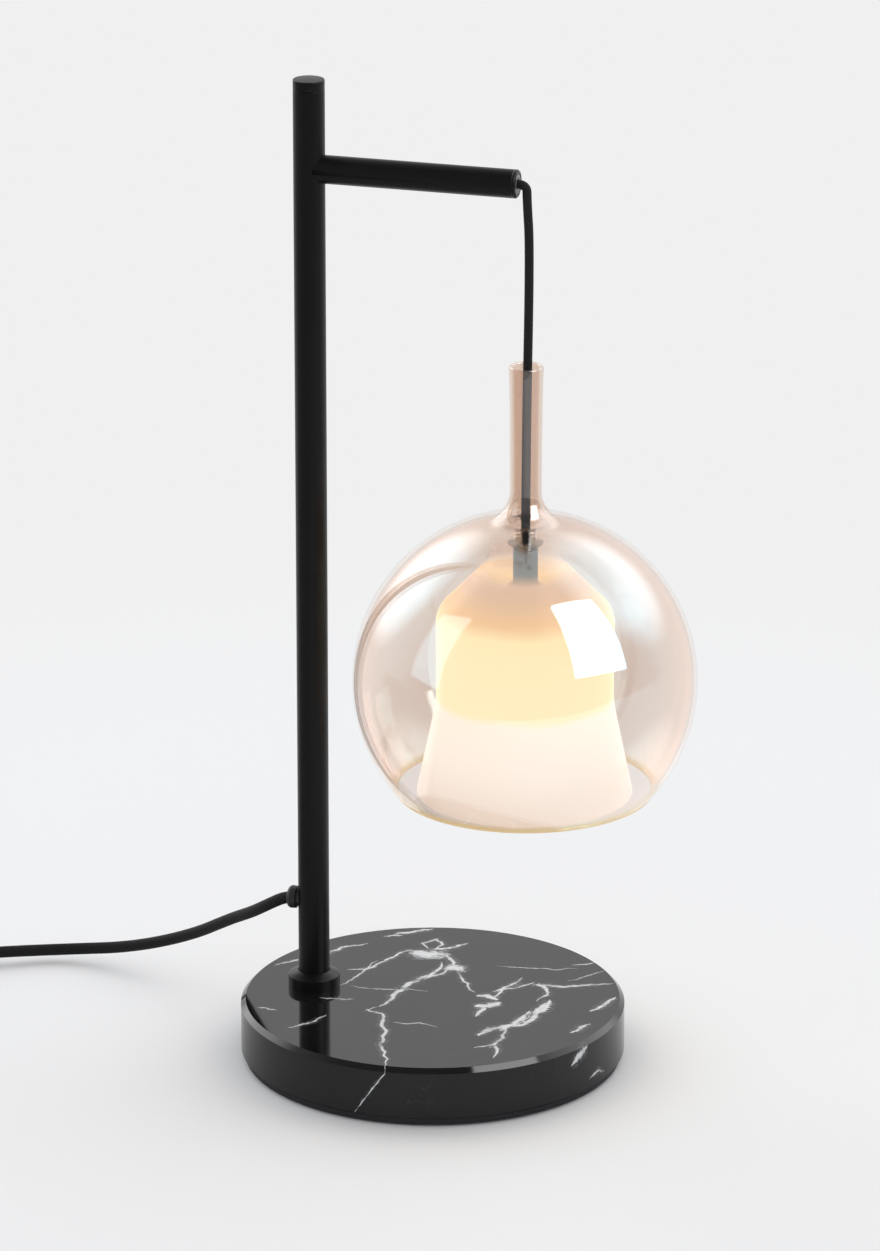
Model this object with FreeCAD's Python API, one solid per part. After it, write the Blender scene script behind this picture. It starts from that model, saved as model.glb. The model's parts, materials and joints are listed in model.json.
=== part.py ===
import FreeCAD, Part
import math
import os

# Table lamp: a round stone base carries a steel pole, a short arm at its top, and a glass
# globe that hangs on its cord over the base. Millimetres, +Z up, origin at the middle of the
# base's underside, +X from the pole towards the globe.

# Base
base_diameter = 200.0
marble_thickness = 27.5
marble_chamfer = 2.5
marble_lower_chamfer = 0.8
plate_diameter = 196.0
plate_thickness = 3.5
pad_diameter = 188.0
pad_thickness = 1.0
nut_pocket_diameter = 30.0
nut_pocket_depth = 9.5
screw_circle_radius = 70.0
screw_count = 4
screw_diameter = 4.0
screw_head_diameter = 8.0
screw_length = 11.0
screw_drive_width = 2.5
screw_drive_depth = 1.6
insert_diameter = 7.0
insert_length = 10.0

# Pole and its foot
pole_offset = 64.6
pole_diameter = 16.2
pole_wall = 1.5
pole_top_height = 520.0
cap_thickness = 5.0
cap_spigot_length = 8.0
cap_chamfer = 0.5
foot_plug_length = 20.0
foot_plug_bore_depth = 16.0
foot_plug_lead_in = 1.0
collar_diameter = 27.0
collar_wall_height = 6.0
collar_cone_height = 2.3
bolt_diameter = 10.0
bolt_head_width = 17.0
bolt_head_height = 6.4
bolt_thread_depth = 14.0
washer_diameter = 26.0
washer_thickness = 2.0

# Arm
arm_height = 473.8
arm_diameter = 14.6
arm_wall = 1.2
arm_cap_thickness = 2.0
arm_cap_spigot_length = 8.0
arm_cap_chamfer = 0.7
arm_spigot_length = 12.0
arm_spigot_nose_diameter = 9.0
bush_diameter = 7.9
bush_length = 13.0
bush_mouth_radius = 0.9
bush_flange_diameter = 9.6
bush_flange_thickness = 0.8
anchor_side_gap = 0.6
anchor_length = 8.0

# Cords
mains_cord_diameter = 6.2
lamp_cord_diameter = 4.6
lamp_cord_bore = 5.2
exit_height = 79.5
grommet_diameter = 12.0
grommet_reach = 5.8
grommet_neck_diameter = 9.2
grommet_cord_gap = 0.1
grommet_flare_diameter = 8.4
grommet_flare_length = 4.6
splice_diameter = 12.4
splice_length = 30.0
splice_bottom_height = 96.0
splice_socket_depth = 8.0
splice_chamfer = 1.0

# Hanging cord
globe_pole_clearance = 17.3
swing_height = 466.0
cord_ball_gap = 0.25
cord_bow_height = 440.0
cord_bow = 1.7
cord_straight_height = 335.0

# Globe
globe_radius = 88.4
globe_height = 211.5
globe_mouth_radius = 66.4
globe_wall = 2.0
neck_radius = 8.1
neck_mouth_radius = 8.75
neck_fillet = 9.5
neck_top_height = 379.4
neck_straight_height = 318.0

# Cord grip, lampholder and bulb
grip_diameter = 12.7
grip_length = 18.2
grip_rounding = 1.6
grip_top_height = 282.5
grip_socket_depth = 14.0
grip_screw_height = 274.5
grip_screw_diameter = 3.0
grip_screw_length = 3.4
grip_screw_bearing = -58.0
grip_screw_socket_diameter = 1.6
grip_screw_socket_depth = 1.4
nipple_diameter = 8.0
nipple_bore = 5.2
nipple_length = 12.0
nipple_engagement = 3.6
holder_diameter = 18.0
holder_length = 24.0
holder_waist = 1.2
holder_rounding = 1.5
bulb_diameter = 16.0
bulb_length = 44.0
bulb_base_diameter = 14.4
bulb_base_width = 8.6
bulb_base_length = 12.0
bulb_pin_spacing = 9.0
bulb_pin_diameter = 1.4
bulb_pin_length = 9.0

# Inner diffuser
diffuser_wall = 2.0
diffuser_neck_radius = 18.1
diffuser_neck_bottom_height = 277.0
diffuser_shoulder_radius = 45.6
diffuser_shoulder_height = 248.5
diffuser_waist_radius = 45.4
diffuser_waist_height = 200.0
diffuser_mouth_radius = 55.4
diffuser_mouth_height = 152.0
diffuser_top_rounding = 3.2
diffuser_fillet = 5.0
diffuser_shoulder_rounding = 14.0
diffuser_corner_drop_share = 0.4
diffuser_waist_rounding = 60.0

# Rings between the glasses
pad_ring_thickness = 0.8
pad_ring_radius = 9.0
seat_hub_radius = 5.0
seat_flange_radius = 14.3
seat_flange_thickness = 2.0
seat_ring_width = 3.8
seat_ring_thickness = 0.6

# Switch on the lead
switch_length = 60.0
switch_width = 26.0
switch_height = 16.0
switch_rounding = 5.0
switch_edge_rounding = 2.0
switch_wall = 1.8
rocker_length = 17.0
rocker_width = 9.0
rocker_rise = 1.6
rocker_tilt = 7.0
rocker_depth = 4.0
rocker_pin_diameter = 2.0
rocker_gap = 0.5
switch_screw_diameter = 3.0
switch_screw_head_diameter = 5.4
switch_screw_head_height = 1.8
switch_screw_offset = 23.0
relief_length = 20.0
relief_root_diameter = 11.0
relief_tip_diameter = 7.8
relief_rib_count = 4
relief_first_rib_share = 0.6
relief_groove_share = 0.25

# Plug at the far end
plug_length = 37.0
plug_width = 30.0
plug_nose_width = 35.0
plug_height = 14.0
plug_rounding = 4.0
plug_widest_share = 0.45
plug_pin_root_share = 0.5
plug_pin_diameter = 4.0
plug_pin_length = 19.0
plug_pin_spacing = 18.6
plug_relief_length = 22.0

# Coil of the put-away length
coil_inner_radius = 23.0
coil_turns_per_layer = 3.2
coil_strand_gap = 0.7
coil_lift = 1.1
coil_steps_per_turn = 8
coil_reverse_half_width = 0.25
coil_probe_turns = 1e-4
tie_width = 9.0
tie_thickness = 0.8
tie_gap = 0.3
tie_side_gap = 0.9
tie_bearing = 20.0

# Running and seating clearances
slide_gap = 0.05
soft_gap = 0.3
cut_overrun = 1.0

# Straight runs and bends of the laid cords
bend_run_share = 0.45
cord_run_share = 1.7
tail_ease_length = 18.6
straight_angle = 1e-6

base_top = pad_thickness + plate_thickness + marble_thickness
marble_bottom = pad_thickness + plate_thickness
pole_x = -pole_offset
pole_radius = pole_diameter / 2
pole_inner_radius = pole_radius - pole_wall
pole_tube_top = pole_top_height - cap_thickness
arm_radius = arm_diameter / 2
arm_inner_radius = arm_radius - arm_wall
globe_offset = pole_x + pole_radius + globe_radius + globe_pole_clearance
arm_end = globe_offset - lamp_cord_diameter
arm_tube_end = arm_end - arm_cap_thickness
mains_radius = mains_cord_diameter / 2
grommet_bore_radius = mains_radius + grommet_cord_gap
cord_radius = lamp_cord_diameter / 2
globe_inner_radius = globe_radius - globe_wall
grip_bottom = grip_top_height - grip_length
diffuser_top = grip_top_height + pad_ring_thickness + diffuser_wall
seat_bottom = diffuser_top + pad_ring_thickness
holder_top = grip_bottom - slide_gap
holder_bottom = holder_top - holder_length
bulb_top = holder_bottom - slide_gap
plug_axis_height = plug_height / 2
switch_axis_height = switch_height / 2
floor_axis_height = coil_lift + mains_radius
layer_pitch = mains_cord_diameter + coil_strand_gap

# Lead's route, from the middle of the pole's grommet to the switch's end face
mains_route = (
    (-71.5, 0.0, exit_height),
    (-79.0, 0.0, exit_height),
    (-90.0, 4.0, 72.5),
    (-103.5, 15.5, 62.0),
    (-120.0, 32.0, 50.5),
    (-150.0, 54.0, 29.2),
    (-188.0, 67.5, 13.0),
    (-226.0, 72.0, 6.0),
    (-262.0, 51.5, switch_axis_height),
    (-286.0, 36.5, switch_axis_height),
)


def point(x, y, z):
    return FreeCAD.Vector(x, y, z)


def upright(radius, bottom, top, x=0.0, y=0.0):
    """Round bar along Z."""
    return Part.makeCylinder(radius, top - bottom, point(x, y, bottom))


def lying(radius, start, end, height, y=0.0):
    """Round bar along X."""
    return Part.makeCylinder(radius, end - start, point(start, y, height), point(1, 0, 0))


def turned(outline, centre, axis):
    """Solid of revolution of a closed outline of edges."""
    face = Part.Face(Part.Wire(outline))
    return face.revolve(centre, axis, 360)


def turned_upright(profile, x):
    """Solid of revolution about a vertical axis from (radius, height) corners."""
    corners = [point(x + radius, 0, height) for radius, height in profile]
    wire = Part.makePolygon(corners + corners[:1])
    return Part.Face(wire).revolve(point(x, 0, 0), point(0, 0, 1), 360)


def turned_lying(profile, height):
    """Solid of revolution about a horizontal X axis from (place, radius) corners."""
    corners = [point(place, 0, height + radius) for place, radius in profile]
    wire = Part.makePolygon(corners + corners[:1])
    return Part.Face(wire).revolve(point(0, 0, height), point(1, 0, 0), 360)


def hexagon(width, bottom, top, x, y=0.0):
    """Hexagonal prism of a width across flats."""
    corner = width / math.sqrt(3)
    corners = []
    for side in range(6):
        turn = math.radians(60 * side)
        corners.append(point(x + corner * math.cos(turn), y + corner * math.sin(turn), bottom))
    face = Part.Face(Part.makePolygon(corners + corners[:1]))
    return face.extrude(point(0, 0, top - bottom))


def save(shape, node):
    shape.exportStep("parts/" + node + ".step")


def arc_leaving(start, heading, end):
    """Arc from start to end that leaves start along heading."""
    chord = end - start
    half_turn = heading.getAngle(chord)
    if half_turn < straight_angle:
        return Part.LineSegment(start, end)
    side = heading - chord * (heading.dot(chord) / chord.dot(chord))
    side.normalize()
    middle = start + chord / 2 + side * (chord.Length / 2 * math.tan(half_turn / 2))
    return Part.Arc(start, middle, end)


def rounded_path(route, fixed_radius=None):
    """Straight runs joined by tangent arcs; also returns the arcs' radii."""
    corners = [point(*place) for place in route]
    edges = []
    radii = []
    reached = corners[0]
    for before, corner, after in zip(corners, corners[1:], corners[2:]):
        arriving = (corner - before).normalize()
        leaving = (after - corner).normalize()
        half_turn = arriving.getAngle(leaving) / 2
        shorter = min((corner - before).Length, (after - corner).Length)
        radius = fixed_radius or bend_run_share * shorter / math.tan(half_turn)
        setback = radius * math.tan(half_turn)
        start = corner - arriving * setback
        end = corner + leaving * setback
        edges.append(Part.LineSegment(reached, start).toShape())
        edges.append(arc_leaving(start, arriving, end).toShape())
        radii.append(radius)
        reached = end
    edges.append(Part.LineSegment(reached, corners[-1]).toShape())
    return Part.Wire(edges), radii


def tube(wire, heading, radius):
    """Round solid swept along a wire that starts with the heading."""
    start = wire.Edges[0].Vertexes[0].Point
    ring = Part.Wire(Part.makeCircle(radius, start, heading))
    return wire.makePipeShell([ring], True, False)


def cord_tube(name, route, radius, fixed_radius=None):
    wire, radii = rounded_path(route, fixed_radius)
    solid = tube(wire, point(*route[1]) - point(*route[0]), radius)
    section = math.pi * radius ** 2
    print(name, "length", round(wire.Length, 1), "bend radii", [round(value, 1) for value in radii],
          "volume over section times length", round(solid.Volume / (section * wire.Length), 4))
    return solid, wire.Length


def frame_at(origin, heading):
    """Placement whose X axis lies along a level heading."""
    turn = math.degrees(math.atan2(heading.y, heading.x))
    return FreeCAD.Placement(origin, FreeCAD.Rotation(point(0, 0, 1), turn))


def placed(shape, placement):
    copy = shape.copy()
    copy.Placement = placement.multiply(copy.Placement)
    return copy


def screw_places():
    for step in range(screw_count):
        turn = math.radians(45 + 360 * step / screw_count)
        yield screw_circle_radius * math.cos(turn), screw_circle_radius * math.sin(turn)


def make_base():
    radius = base_diameter / 2
    marble = turned_upright((
        (0, marble_bottom),
        (radius - marble_lower_chamfer, marble_bottom),
        (radius, marble_bottom + marble_lower_chamfer),
        (radius, base_top - marble_chamfer),
        (radius - marble_chamfer, base_top),
        (0, base_top)), 0)
    pocket_top = marble_bottom + nut_pocket_depth
    pocket = upright(nut_pocket_diameter / 2, marble_bottom - cut_overrun, pocket_top, pole_x)
    bolt_hole = upright(bolt_diameter / 2 + soft_gap, marble_bottom, base_top + cut_overrun, pole_x)
    marble = marble.cut(pocket).cut(bolt_hole)
    plate = upright(plate_diameter / 2, pad_thickness, marble_bottom)
    plate = plate.cut(upright(nut_pocket_diameter / 2, 0, base_top, pole_x))
    screws = []
    inserts = []
    head_depth = (screw_head_diameter - screw_diameter) / 2
    for x, y in screw_places():
        insert_top = marble_bottom + insert_length
        marble = marble.cut(upright(insert_diameter / 2 + slide_gap, marble_bottom - cut_overrun,
                                    insert_top + soft_gap, x, y))
        sink = Part.makeCone(screw_head_diameter / 2 + slide_gap, screw_diameter / 2 + slide_gap,
                             head_depth, point(x, y, pad_thickness))
        plate = plate.cut(sink)
        plate = plate.cut(upright(screw_diameter / 2 + slide_gap, 0, base_top, x, y))
        head = Part.makeCone(screw_head_diameter / 2, screw_diameter / 2, head_depth,
                             point(x, y, pad_thickness))
        shank = upright(screw_diameter / 2, pad_thickness, pad_thickness + screw_length, x, y)
        screw = head.fuse(shank)
        drive = hexagon(screw_drive_width, pad_thickness - cut_overrun,
                        pad_thickness + screw_drive_depth, x, y)
        screws.append(screw.cut(drive))
        insert = upright(insert_diameter / 2, marble_bottom, insert_top, x, y)
        inserts.append(insert.cut(upright(screw_diameter / 2 + slide_gap, 0, base_top, x, y)))
    save(marble, "marble_base")
    save(plate, "base_plate")
    save(Part.makeCompound(screws), "base_plate_screws")
    save(Part.makeCompound(inserts), "base_screw_inserts")
    save(upright(pad_diameter / 2, 0, pad_thickness), "foot_pad")
    washer = upright(washer_diameter / 2, pocket_top - washer_thickness, pocket_top, pole_x)
    washer = washer.cut(upright(bolt_diameter / 2 + soft_gap, 0, base_top, pole_x))
    save(washer, "pole_bolt_washer")
    head_top = pocket_top - washer_thickness
    bolt = hexagon(bolt_head_width, head_top - bolt_head_height, head_top, pole_x)
    bolt = bolt.fuse(upright(bolt_diameter / 2, head_top, base_top + bolt_thread_depth, pole_x))
    save(bolt.removeSplitter(), "pole_bolt")


def make_pole():
    tube_body = upright(pole_radius, base_top, pole_tube_top, pole_x)
    tube_body = tube_body.cut(upright(pole_inner_radius, 0, pole_top_height, pole_x))
    lead_hole = lying(grommet_neck_diameter / 2 + slide_gap, pole_x - pole_diameter, pole_x, exit_height)
    arm_hole = lying(arm_spigot_nose_diameter / 2 + slide_gap, pole_x, pole_x + pole_diameter, arm_height)
    save(tube_body.cut(lead_hole).cut(arm_hole), "pole_tube")
    plug_radius = pole_inner_radius - slide_gap
    plug_top = base_top + foot_plug_length
    plug = turned_upright((
        (0, base_top),
        (plug_radius, base_top),
        (plug_radius, plug_top - foot_plug_lead_in),
        (plug_radius - foot_plug_lead_in, plug_top),
        (0, plug_top)), pole_x)
    bore = upright(bolt_diameter / 2 + slide_gap, 0, base_top + foot_plug_bore_depth, pole_x)
    save(plug.cut(bore), "pole_foot_plug")
    bore_radius = pole_radius + slide_gap
    wall_top = base_top + collar_wall_height
    collar = turned_upright((
        (bore_radius, base_top),
        (collar_diameter / 2, base_top),
        (collar_diameter / 2, wall_top),
        (bore_radius, wall_top + collar_cone_height)), pole_x)
    save(collar, "pole_collar")
    spigot_radius = pole_inner_radius - slide_gap
    spigot_bottom = pole_tube_top - cap_spigot_length
    cap = turned_upright((
        (0, spigot_bottom),
        (spigot_radius - cap_chamfer, spigot_bottom),
        (spigot_radius, spigot_bottom + cap_chamfer),
        (spigot_radius, pole_tube_top),
        (pole_radius, pole_tube_top),
        (pole_radius, pole_top_height - cap_chamfer),
        (pole_radius - cap_chamfer, pole_top_height),
        (0, pole_top_height)), pole_x)
    save(cap, "pole_cap")


def make_arm():
    round_pole = upright(pole_radius + slide_gap, base_top, pole_top_height, pole_x)
    arm = lying(arm_radius, pole_x, arm_tube_end, arm_height)
    arm = arm.cut(lying(arm_inner_radius, pole_x, arm_end, arm_height)).cut(round_pole)
    save(arm, "arm_tube")
    fit_radius = arm_inner_radius - slide_gap
    root = lying(fit_radius, pole_x, pole_x + pole_radius + arm_spigot_length, arm_height)
    root = root.cut(round_pole)
    nose = lying(arm_spigot_nose_diameter / 2, pole_x + pole_inner_radius, pole_x + pole_radius + pole_wall,
                 arm_height)
    spigot = root.fuse(nose).cut(lying(lamp_cord_bore / 2, pole_x, arm_end, arm_height))
    save(spigot.removeSplitter(), "arm_spigot")
    cap_inner_end = arm_tube_end - arm_cap_spigot_length
    bush_fit = bush_diameter / 2 + slide_gap
    flange_fit = bush_flange_diameter / 2 + slide_gap
    cap = turned_lying((
        (cap_inner_end, bush_fit),
        (cap_inner_end, fit_radius),
        (arm_tube_end, fit_radius),
        (arm_tube_end, arm_radius),
        (arm_end - arm_cap_chamfer, arm_radius),
        (arm_end, arm_radius - arm_cap_chamfer),
        (arm_end, flange_fit),
        (arm_end - bush_flange_thickness, flange_fit),
        (arm_end - bush_flange_thickness, bush_fit)), arm_height)
    save(cap, "arm_end_cap")
    bush_start = arm_end - bush_length
    bore = lamp_cord_bore / 2
    bush = turned_lying((
        (bush_start, bore),
        (bush_start, bush_diameter / 2),
        (arm_end - bush_flange_thickness, bush_diameter / 2),
        (arm_end - bush_flange_thickness, bush_flange_diameter / 2),
        (arm_end, bush_flange_diameter / 2),
        (arm_end, bore + bush_mouth_radius),
        (arm_end - bush_mouth_radius, bore)), arm_height)
    save(bush, "arm_bush")
    anchor_end = bush_start - slide_gap
    anchor = lying(arm_inner_radius - anchor_side_gap, anchor_end - anchor_length, anchor_end, arm_height)
    save(anchor.cut(lying(cord_radius + slide_gap, pole_x, arm_end, arm_height)), "cord_anchor")


def make_grommet():
    start = pole_x - pole_radius - grommet_reach
    radius = grommet_diameter / 2
    bulb_radius = grommet_reach / 2
    bar = lying(radius, start, pole_x, exit_height)
    outer = bar.makeFillet(bulb_radius - slide_gap, [edge for edge in bar.Edges
                                                     if abs(edge.CenterOfMass.x - start) < slide_gap
                                                     and len(edge.Vertexes) == 1])
    outer = outer.cut(upright(pole_radius + slide_gap, base_top, pole_top_height, pole_x))
    neck = lying(grommet_neck_diameter / 2, pole_x - pole_radius - pole_wall, pole_x, exit_height)
    neck = neck.cut(upright(pole_inner_radius, base_top, pole_top_height, pole_x))
    flare = Part.makeCone(grommet_flare_diameter / 2, grommet_bore_radius, grommet_flare_length,
                          point(start, 0, exit_height), point(1, 0, 0))
    grommet = outer.fuse(neck).cut(lying(grommet_bore_radius, start - cut_overrun, arm_end, exit_height))
    grommet = grommet.cut(flare)
    save(grommet.removeSplitter(), "pole_grommet")


def make_inner_cords():
    lead_start = mains_route[0][0]
    bend_radius = pole_inner_radius
    socket_height = splice_bottom_height + splice_socket_depth - soft_gap
    lead, lead_length = cord_tube("mains lead in the pole", (
        (lead_start, 0, exit_height),
        (pole_x, 0, exit_height),
        (pole_x, 0, socket_height)), mains_radius, bend_radius - slide_gap)
    save(lead, "mains_lead_in_pole")
    splice_top = splice_bottom_height + splice_length
    sleeve = turned_upright((
        (0, splice_bottom_height),
        (splice_diameter / 2 - splice_chamfer, splice_bottom_height),
        (splice_diameter / 2, splice_bottom_height + splice_chamfer),
        (splice_diameter / 2, splice_top - splice_chamfer),
        (splice_diameter / 2 - splice_chamfer, splice_top),
        (0, splice_top)), pole_x)
    lower = upright(mains_radius + slide_gap, 0, splice_bottom_height + splice_socket_depth, pole_x)
    upper = upright(cord_radius + slide_gap, splice_top - splice_socket_depth, pole_top_height, pole_x)
    save(sleeve.cut(lower).cut(upper), "cord_splice")
    inner, inner_length = cord_tube("lamp lead in pole and arm", (
        (pole_x, 0, splice_top - splice_socket_depth + soft_gap),
        (pole_x, 0, arm_height),
        (bend_start_x() - cord_ball_gap, 0, arm_height)), cord_radius, bend_radius - slide_gap)
    save(inner, "lamp_lead_in_pole_and_arm")
    return lead_length, inner_length


def bend_start_x():
    """Where the hanging cord starts to turn down at the bush."""
    return globe_offset - lamp_cord_diameter


def make_hanging_cord():
    bend, bend_length = cord_tube("hanging cord's bend", (
        (bend_start_x() - cord_ball_gap / 2, 0, arm_height),
        (globe_offset, 0, arm_height),
        (globe_offset, 0, swing_height)), cord_radius, lamp_cord_diameter)
    ball = Part.makeSphere(cord_radius, point(globe_offset, 0, swing_height))
    save(bend.fuse(ball).removeSplitter(), "pendant_cord_bend")
    drop_top = swing_height - cord_radius - cord_ball_gap
    drop_bottom = grip_top_height - grip_socket_depth + soft_gap
    drop, drop_length = cord_tube("hanging cord's drop", (
        (globe_offset, 0, drop_top),
        (globe_offset + cord_bow, 0, cord_bow_height),
        (globe_offset, 0, cord_straight_height),
        (globe_offset, 0, drop_bottom)), cord_radius)
    save(drop, "pendant_cord_drop")
    return bend_length, drop_length


def globe_profile(radius, fillet, neck, mouth, bottom):
    """Edges of one glass surface, from the rim up to the neck's mouth."""
    x = globe_offset
    fillet_x = neck + fillet
    reach = radius + fillet
    rise = math.sqrt(reach ** 2 - fillet_x ** 2)
    share = radius / reach
    rim_radius = math.sqrt(radius ** 2 - (globe_height - bottom) ** 2)
    rim = point(x + rim_radius, 0, bottom)
    side = point(x + radius, 0, globe_height)
    shoulder = point(x + fillet_x * share, 0, globe_height + rise * share)
    throat = point(x + neck, 0, globe_height + rise)
    bisector = (shoulder + throat) / 2 - point(x + fillet_x, 0, globe_height + rise)
    bisector.normalize()
    middle = point(x + fillet_x, 0, globe_height + rise) + bisector * fillet
    flare_start = point(x + neck, 0, neck_straight_height)
    top = point(x + mouth, 0, neck_top_height)
    return rim, top, [
        Part.Arc(rim, side, shoulder).toShape(),
        Part.Arc(shoulder, middle, throat).toShape(),
        Part.LineSegment(throat, flare_start).toShape(),
        arc_leaving(flare_start, point(0, 0, 1), top).toShape()]


def make_globe():
    bottom = globe_height - math.sqrt(globe_radius ** 2 - globe_mouth_radius ** 2)
    rim, top, outer = globe_profile(globe_radius, neck_fillet, neck_radius, neck_mouth_radius, bottom)
    inner_rim, inner_top, inner = globe_profile(globe_inner_radius, neck_fillet + globe_wall,
                                                neck_radius - globe_wall,
                                                neck_mouth_radius - globe_wall, bottom)
    lip = Part.LineSegment(inner_rim, rim).toShape()
    mouth = Part.LineSegment(top, inner_top).toShape()
    outline = [lip] + outer + [mouth] + inner
    globe = turned(Part.__sortEdges__(outline), point(globe_offset, 0, 0), point(0, 0, 1))
    save(globe, "glass_globe")


def diffuser_surface(inset):
    """Outer or inner surface of the opal bell as a solid of revolution."""
    corner_drop = inset * diffuser_corner_drop_share
    corners = [
        (0, diffuser_top - inset),
        (diffuser_neck_radius - inset, diffuser_top - inset),
        (diffuser_neck_radius - inset, diffuser_neck_bottom_height - corner_drop),
        (diffuser_shoulder_radius - inset, diffuser_shoulder_height - corner_drop),
        (diffuser_waist_radius - inset, diffuser_waist_height),
        (diffuser_mouth_radius - inset, diffuser_mouth_height),
        (0, diffuser_mouth_height)]
    bends = (diffuser_top_rounding, diffuser_fillet, diffuser_shoulder_rounding, diffuser_waist_rounding)
    places = [point(globe_offset + radius, 0, height) for radius, height in corners]
    edges = []
    reached = places[0]
    for index, bend in enumerate(bends, start=1):
        before, corner, after = places[index - 1], places[index], places[index + 1]
        arriving = (corner - before).normalize()
        leaving = (after - corner).normalize()
        half_turn = arriving.getAngle(leaving) / 2
        setback = bend * math.tan(half_turn)
        start = corner - arriving * setback
        end = corner + leaving * setback
        edges.append(Part.LineSegment(reached, start).toShape())
        edges.append(arc_leaving(start, arriving, end).toShape())
        reached = end
    for place in (places[-2], places[-1], places[0]):
        edges.append(Part.LineSegment(reached, place).toShape())
        reached = place
    return turned(edges, point(globe_offset, 0, 0), point(0, 0, 1))


def make_diffuser():
    outer = diffuser_surface(0)
    inner = diffuser_surface(diffuser_wall)
    inner_mouth = upright(diffuser_mouth_radius - diffuser_wall, diffuser_mouth_height - cut_overrun,
                          diffuser_mouth_height, globe_offset)
    hole = upright(lamp_cord_bore / 2, diffuser_mouth_height, neck_top_height, globe_offset)
    save(outer.cut(inner.fuse(inner_mouth)).cut(hole), "inner_diffuser")


def make_stack():
    hole = upright(lamp_cord_bore / 2, diffuser_mouth_height, neck_top_height, globe_offset)
    grip_radius = grip_diameter / 2
    grip = upright(grip_radius, grip_bottom, grip_top_height, globe_offset)
    top_edges = [edge for edge in grip.Edges if abs(edge.CenterOfMass.z - grip_top_height) < slide_gap
                 and len(edge.Vertexes) == 1]
    grip = grip.makeFillet(grip_rounding, top_edges)
    socket_floor = grip_top_height - grip_socket_depth
    grip = grip.cut(upright(cord_radius + slide_gap, socket_floor, neck_top_height, globe_offset))
    nipple_hole_top = grip_bottom + nipple_engagement
    grip = grip.cut(upright(nipple_diameter / 2 + slide_gap, 0, nipple_hole_top, globe_offset))
    turn = math.radians(grip_screw_bearing)
    outward = point(math.cos(turn), math.sin(turn), 0)
    centre = point(globe_offset, 0, grip_screw_height)
    grip = grip.cut(Part.makeCylinder(grip_screw_diameter / 2 + slide_gap, grip_diameter, centre, outward))
    save(grip, "cord_grip")
    screw_start = cord_radius + slide_gap
    screw = Part.makeCylinder(grip_screw_diameter / 2, grip_screw_length,
                              centre + outward * screw_start, outward)
    socket_start = screw_start + grip_screw_length - grip_screw_socket_depth
    socket = Part.makeCylinder(grip_screw_socket_diameter / 2, grip_diameter,
                               centre + outward * socket_start, outward)
    save(screw.cut(socket), "grip_screw")
    for radius, bottom, node in ((grip_radius, grip_top_height, "diffuser_lower_washer"),
                                 (pad_ring_radius, diffuser_top, "diffuser_upper_washer")):
        ring = upright(radius, bottom, bottom + pad_ring_thickness, globe_offset)
        save(ring.cut(hole), node)
    fillet_x = neck_radius + neck_fillet
    fillet_z = globe_height + math.sqrt((globe_radius + neck_fillet) ** 2 - fillet_x ** 2)
    glass_fillet = neck_fillet + globe_wall
    glass_at_flange = fillet_z - math.sqrt(glass_fillet ** 2 - (fillet_x - seat_flange_radius) ** 2)
    ring_top = glass_at_flange - soft_gap
    flange_top = ring_top - seat_ring_thickness
    hub_top = fillet_z
    centring_radius = neck_radius - globe_wall - soft_gap
    seat = turned_upright((
        (0, seat_bottom),
        (seat_hub_radius, seat_bottom),
        (seat_hub_radius, flange_top - seat_flange_thickness),
        (seat_flange_radius, flange_top - seat_flange_thickness),
        (seat_flange_radius, flange_top),
        (centring_radius, flange_top),
        (centring_radius, hub_top),
        (0, hub_top)), globe_offset)
    save(seat.cut(hole), "globe_seat")
    ring = upright(seat_flange_radius, flange_top, ring_top, globe_offset)
    ring = ring.cut(upright(seat_flange_radius - seat_ring_width, 0, neck_top_height, globe_offset))
    save(ring, "globe_seat_ring")


def make_lampholder():
    nipple_top = grip_bottom + nipple_engagement - slide_gap
    nipple_bottom = nipple_top - nipple_length
    nipple = upright(nipple_diameter / 2, nipple_bottom, nipple_top, globe_offset)
    save(nipple.cut(upright(nipple_bore / 2, 0, neck_top_height, globe_offset)), "holder_nipple")
    radius = holder_diameter / 2
    waist_top = holder_top - holder_length / 3
    waist_bottom = holder_bottom + holder_length / 3
    body = turned_upright((
        (0, holder_bottom),
        (radius - holder_rounding, holder_bottom),
        (radius, holder_bottom + holder_rounding),
        (radius, waist_bottom),
        (radius - holder_waist, waist_bottom + holder_waist),
        (radius - holder_waist, waist_top - holder_waist),
        (radius, waist_top),
        (radius, holder_top - holder_rounding),
        (radius - holder_rounding, holder_top),
        (0, holder_top)), globe_offset)
    socket_radius = nipple_diameter / 2 + slide_gap
    body = body.cut(upright(socket_radius, nipple_bottom - soft_gap, holder_top + cut_overrun, globe_offset))
    pins = []
    for side in (-1, 1):
        x = globe_offset + side * bulb_pin_spacing / 2
        body = body.cut(upright(bulb_pin_diameter / 2 + slide_gap, holder_bottom - cut_overrun,
                                holder_bottom + bulb_pin_length, x))
        pins.append(upright(bulb_pin_diameter / 2, bulb_top, bulb_top + bulb_pin_length - soft_gap, x))
    save(body, "lampholder")
    save(Part.makeCompound(pins), "bulb_pins")
    base_bottom = bulb_top - bulb_base_length
    half_width = bulb_base_width / 2
    slab = Part.makeBox(bulb_base_diameter, bulb_base_width, bulb_base_length,
                        point(globe_offset - bulb_base_diameter / 2, -half_width, base_bottom))
    base = slab.common(upright(bulb_base_diameter / 2, base_bottom, bulb_top, globe_offset))
    save(base, "bulb_base")
    capsule_bottom = base_bottom - bulb_length
    bulb_radius = bulb_diameter / 2
    capsule = upright(bulb_radius, capsule_bottom + bulb_radius, base_bottom - slide_gap, globe_offset)
    dome = Part.makeSphere(bulb_radius, point(globe_offset, 0, capsule_bottom + bulb_radius))
    capsule = capsule.fuse(dome)
    save(capsule.removeSplitter(), "bulb_capsule")


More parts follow.
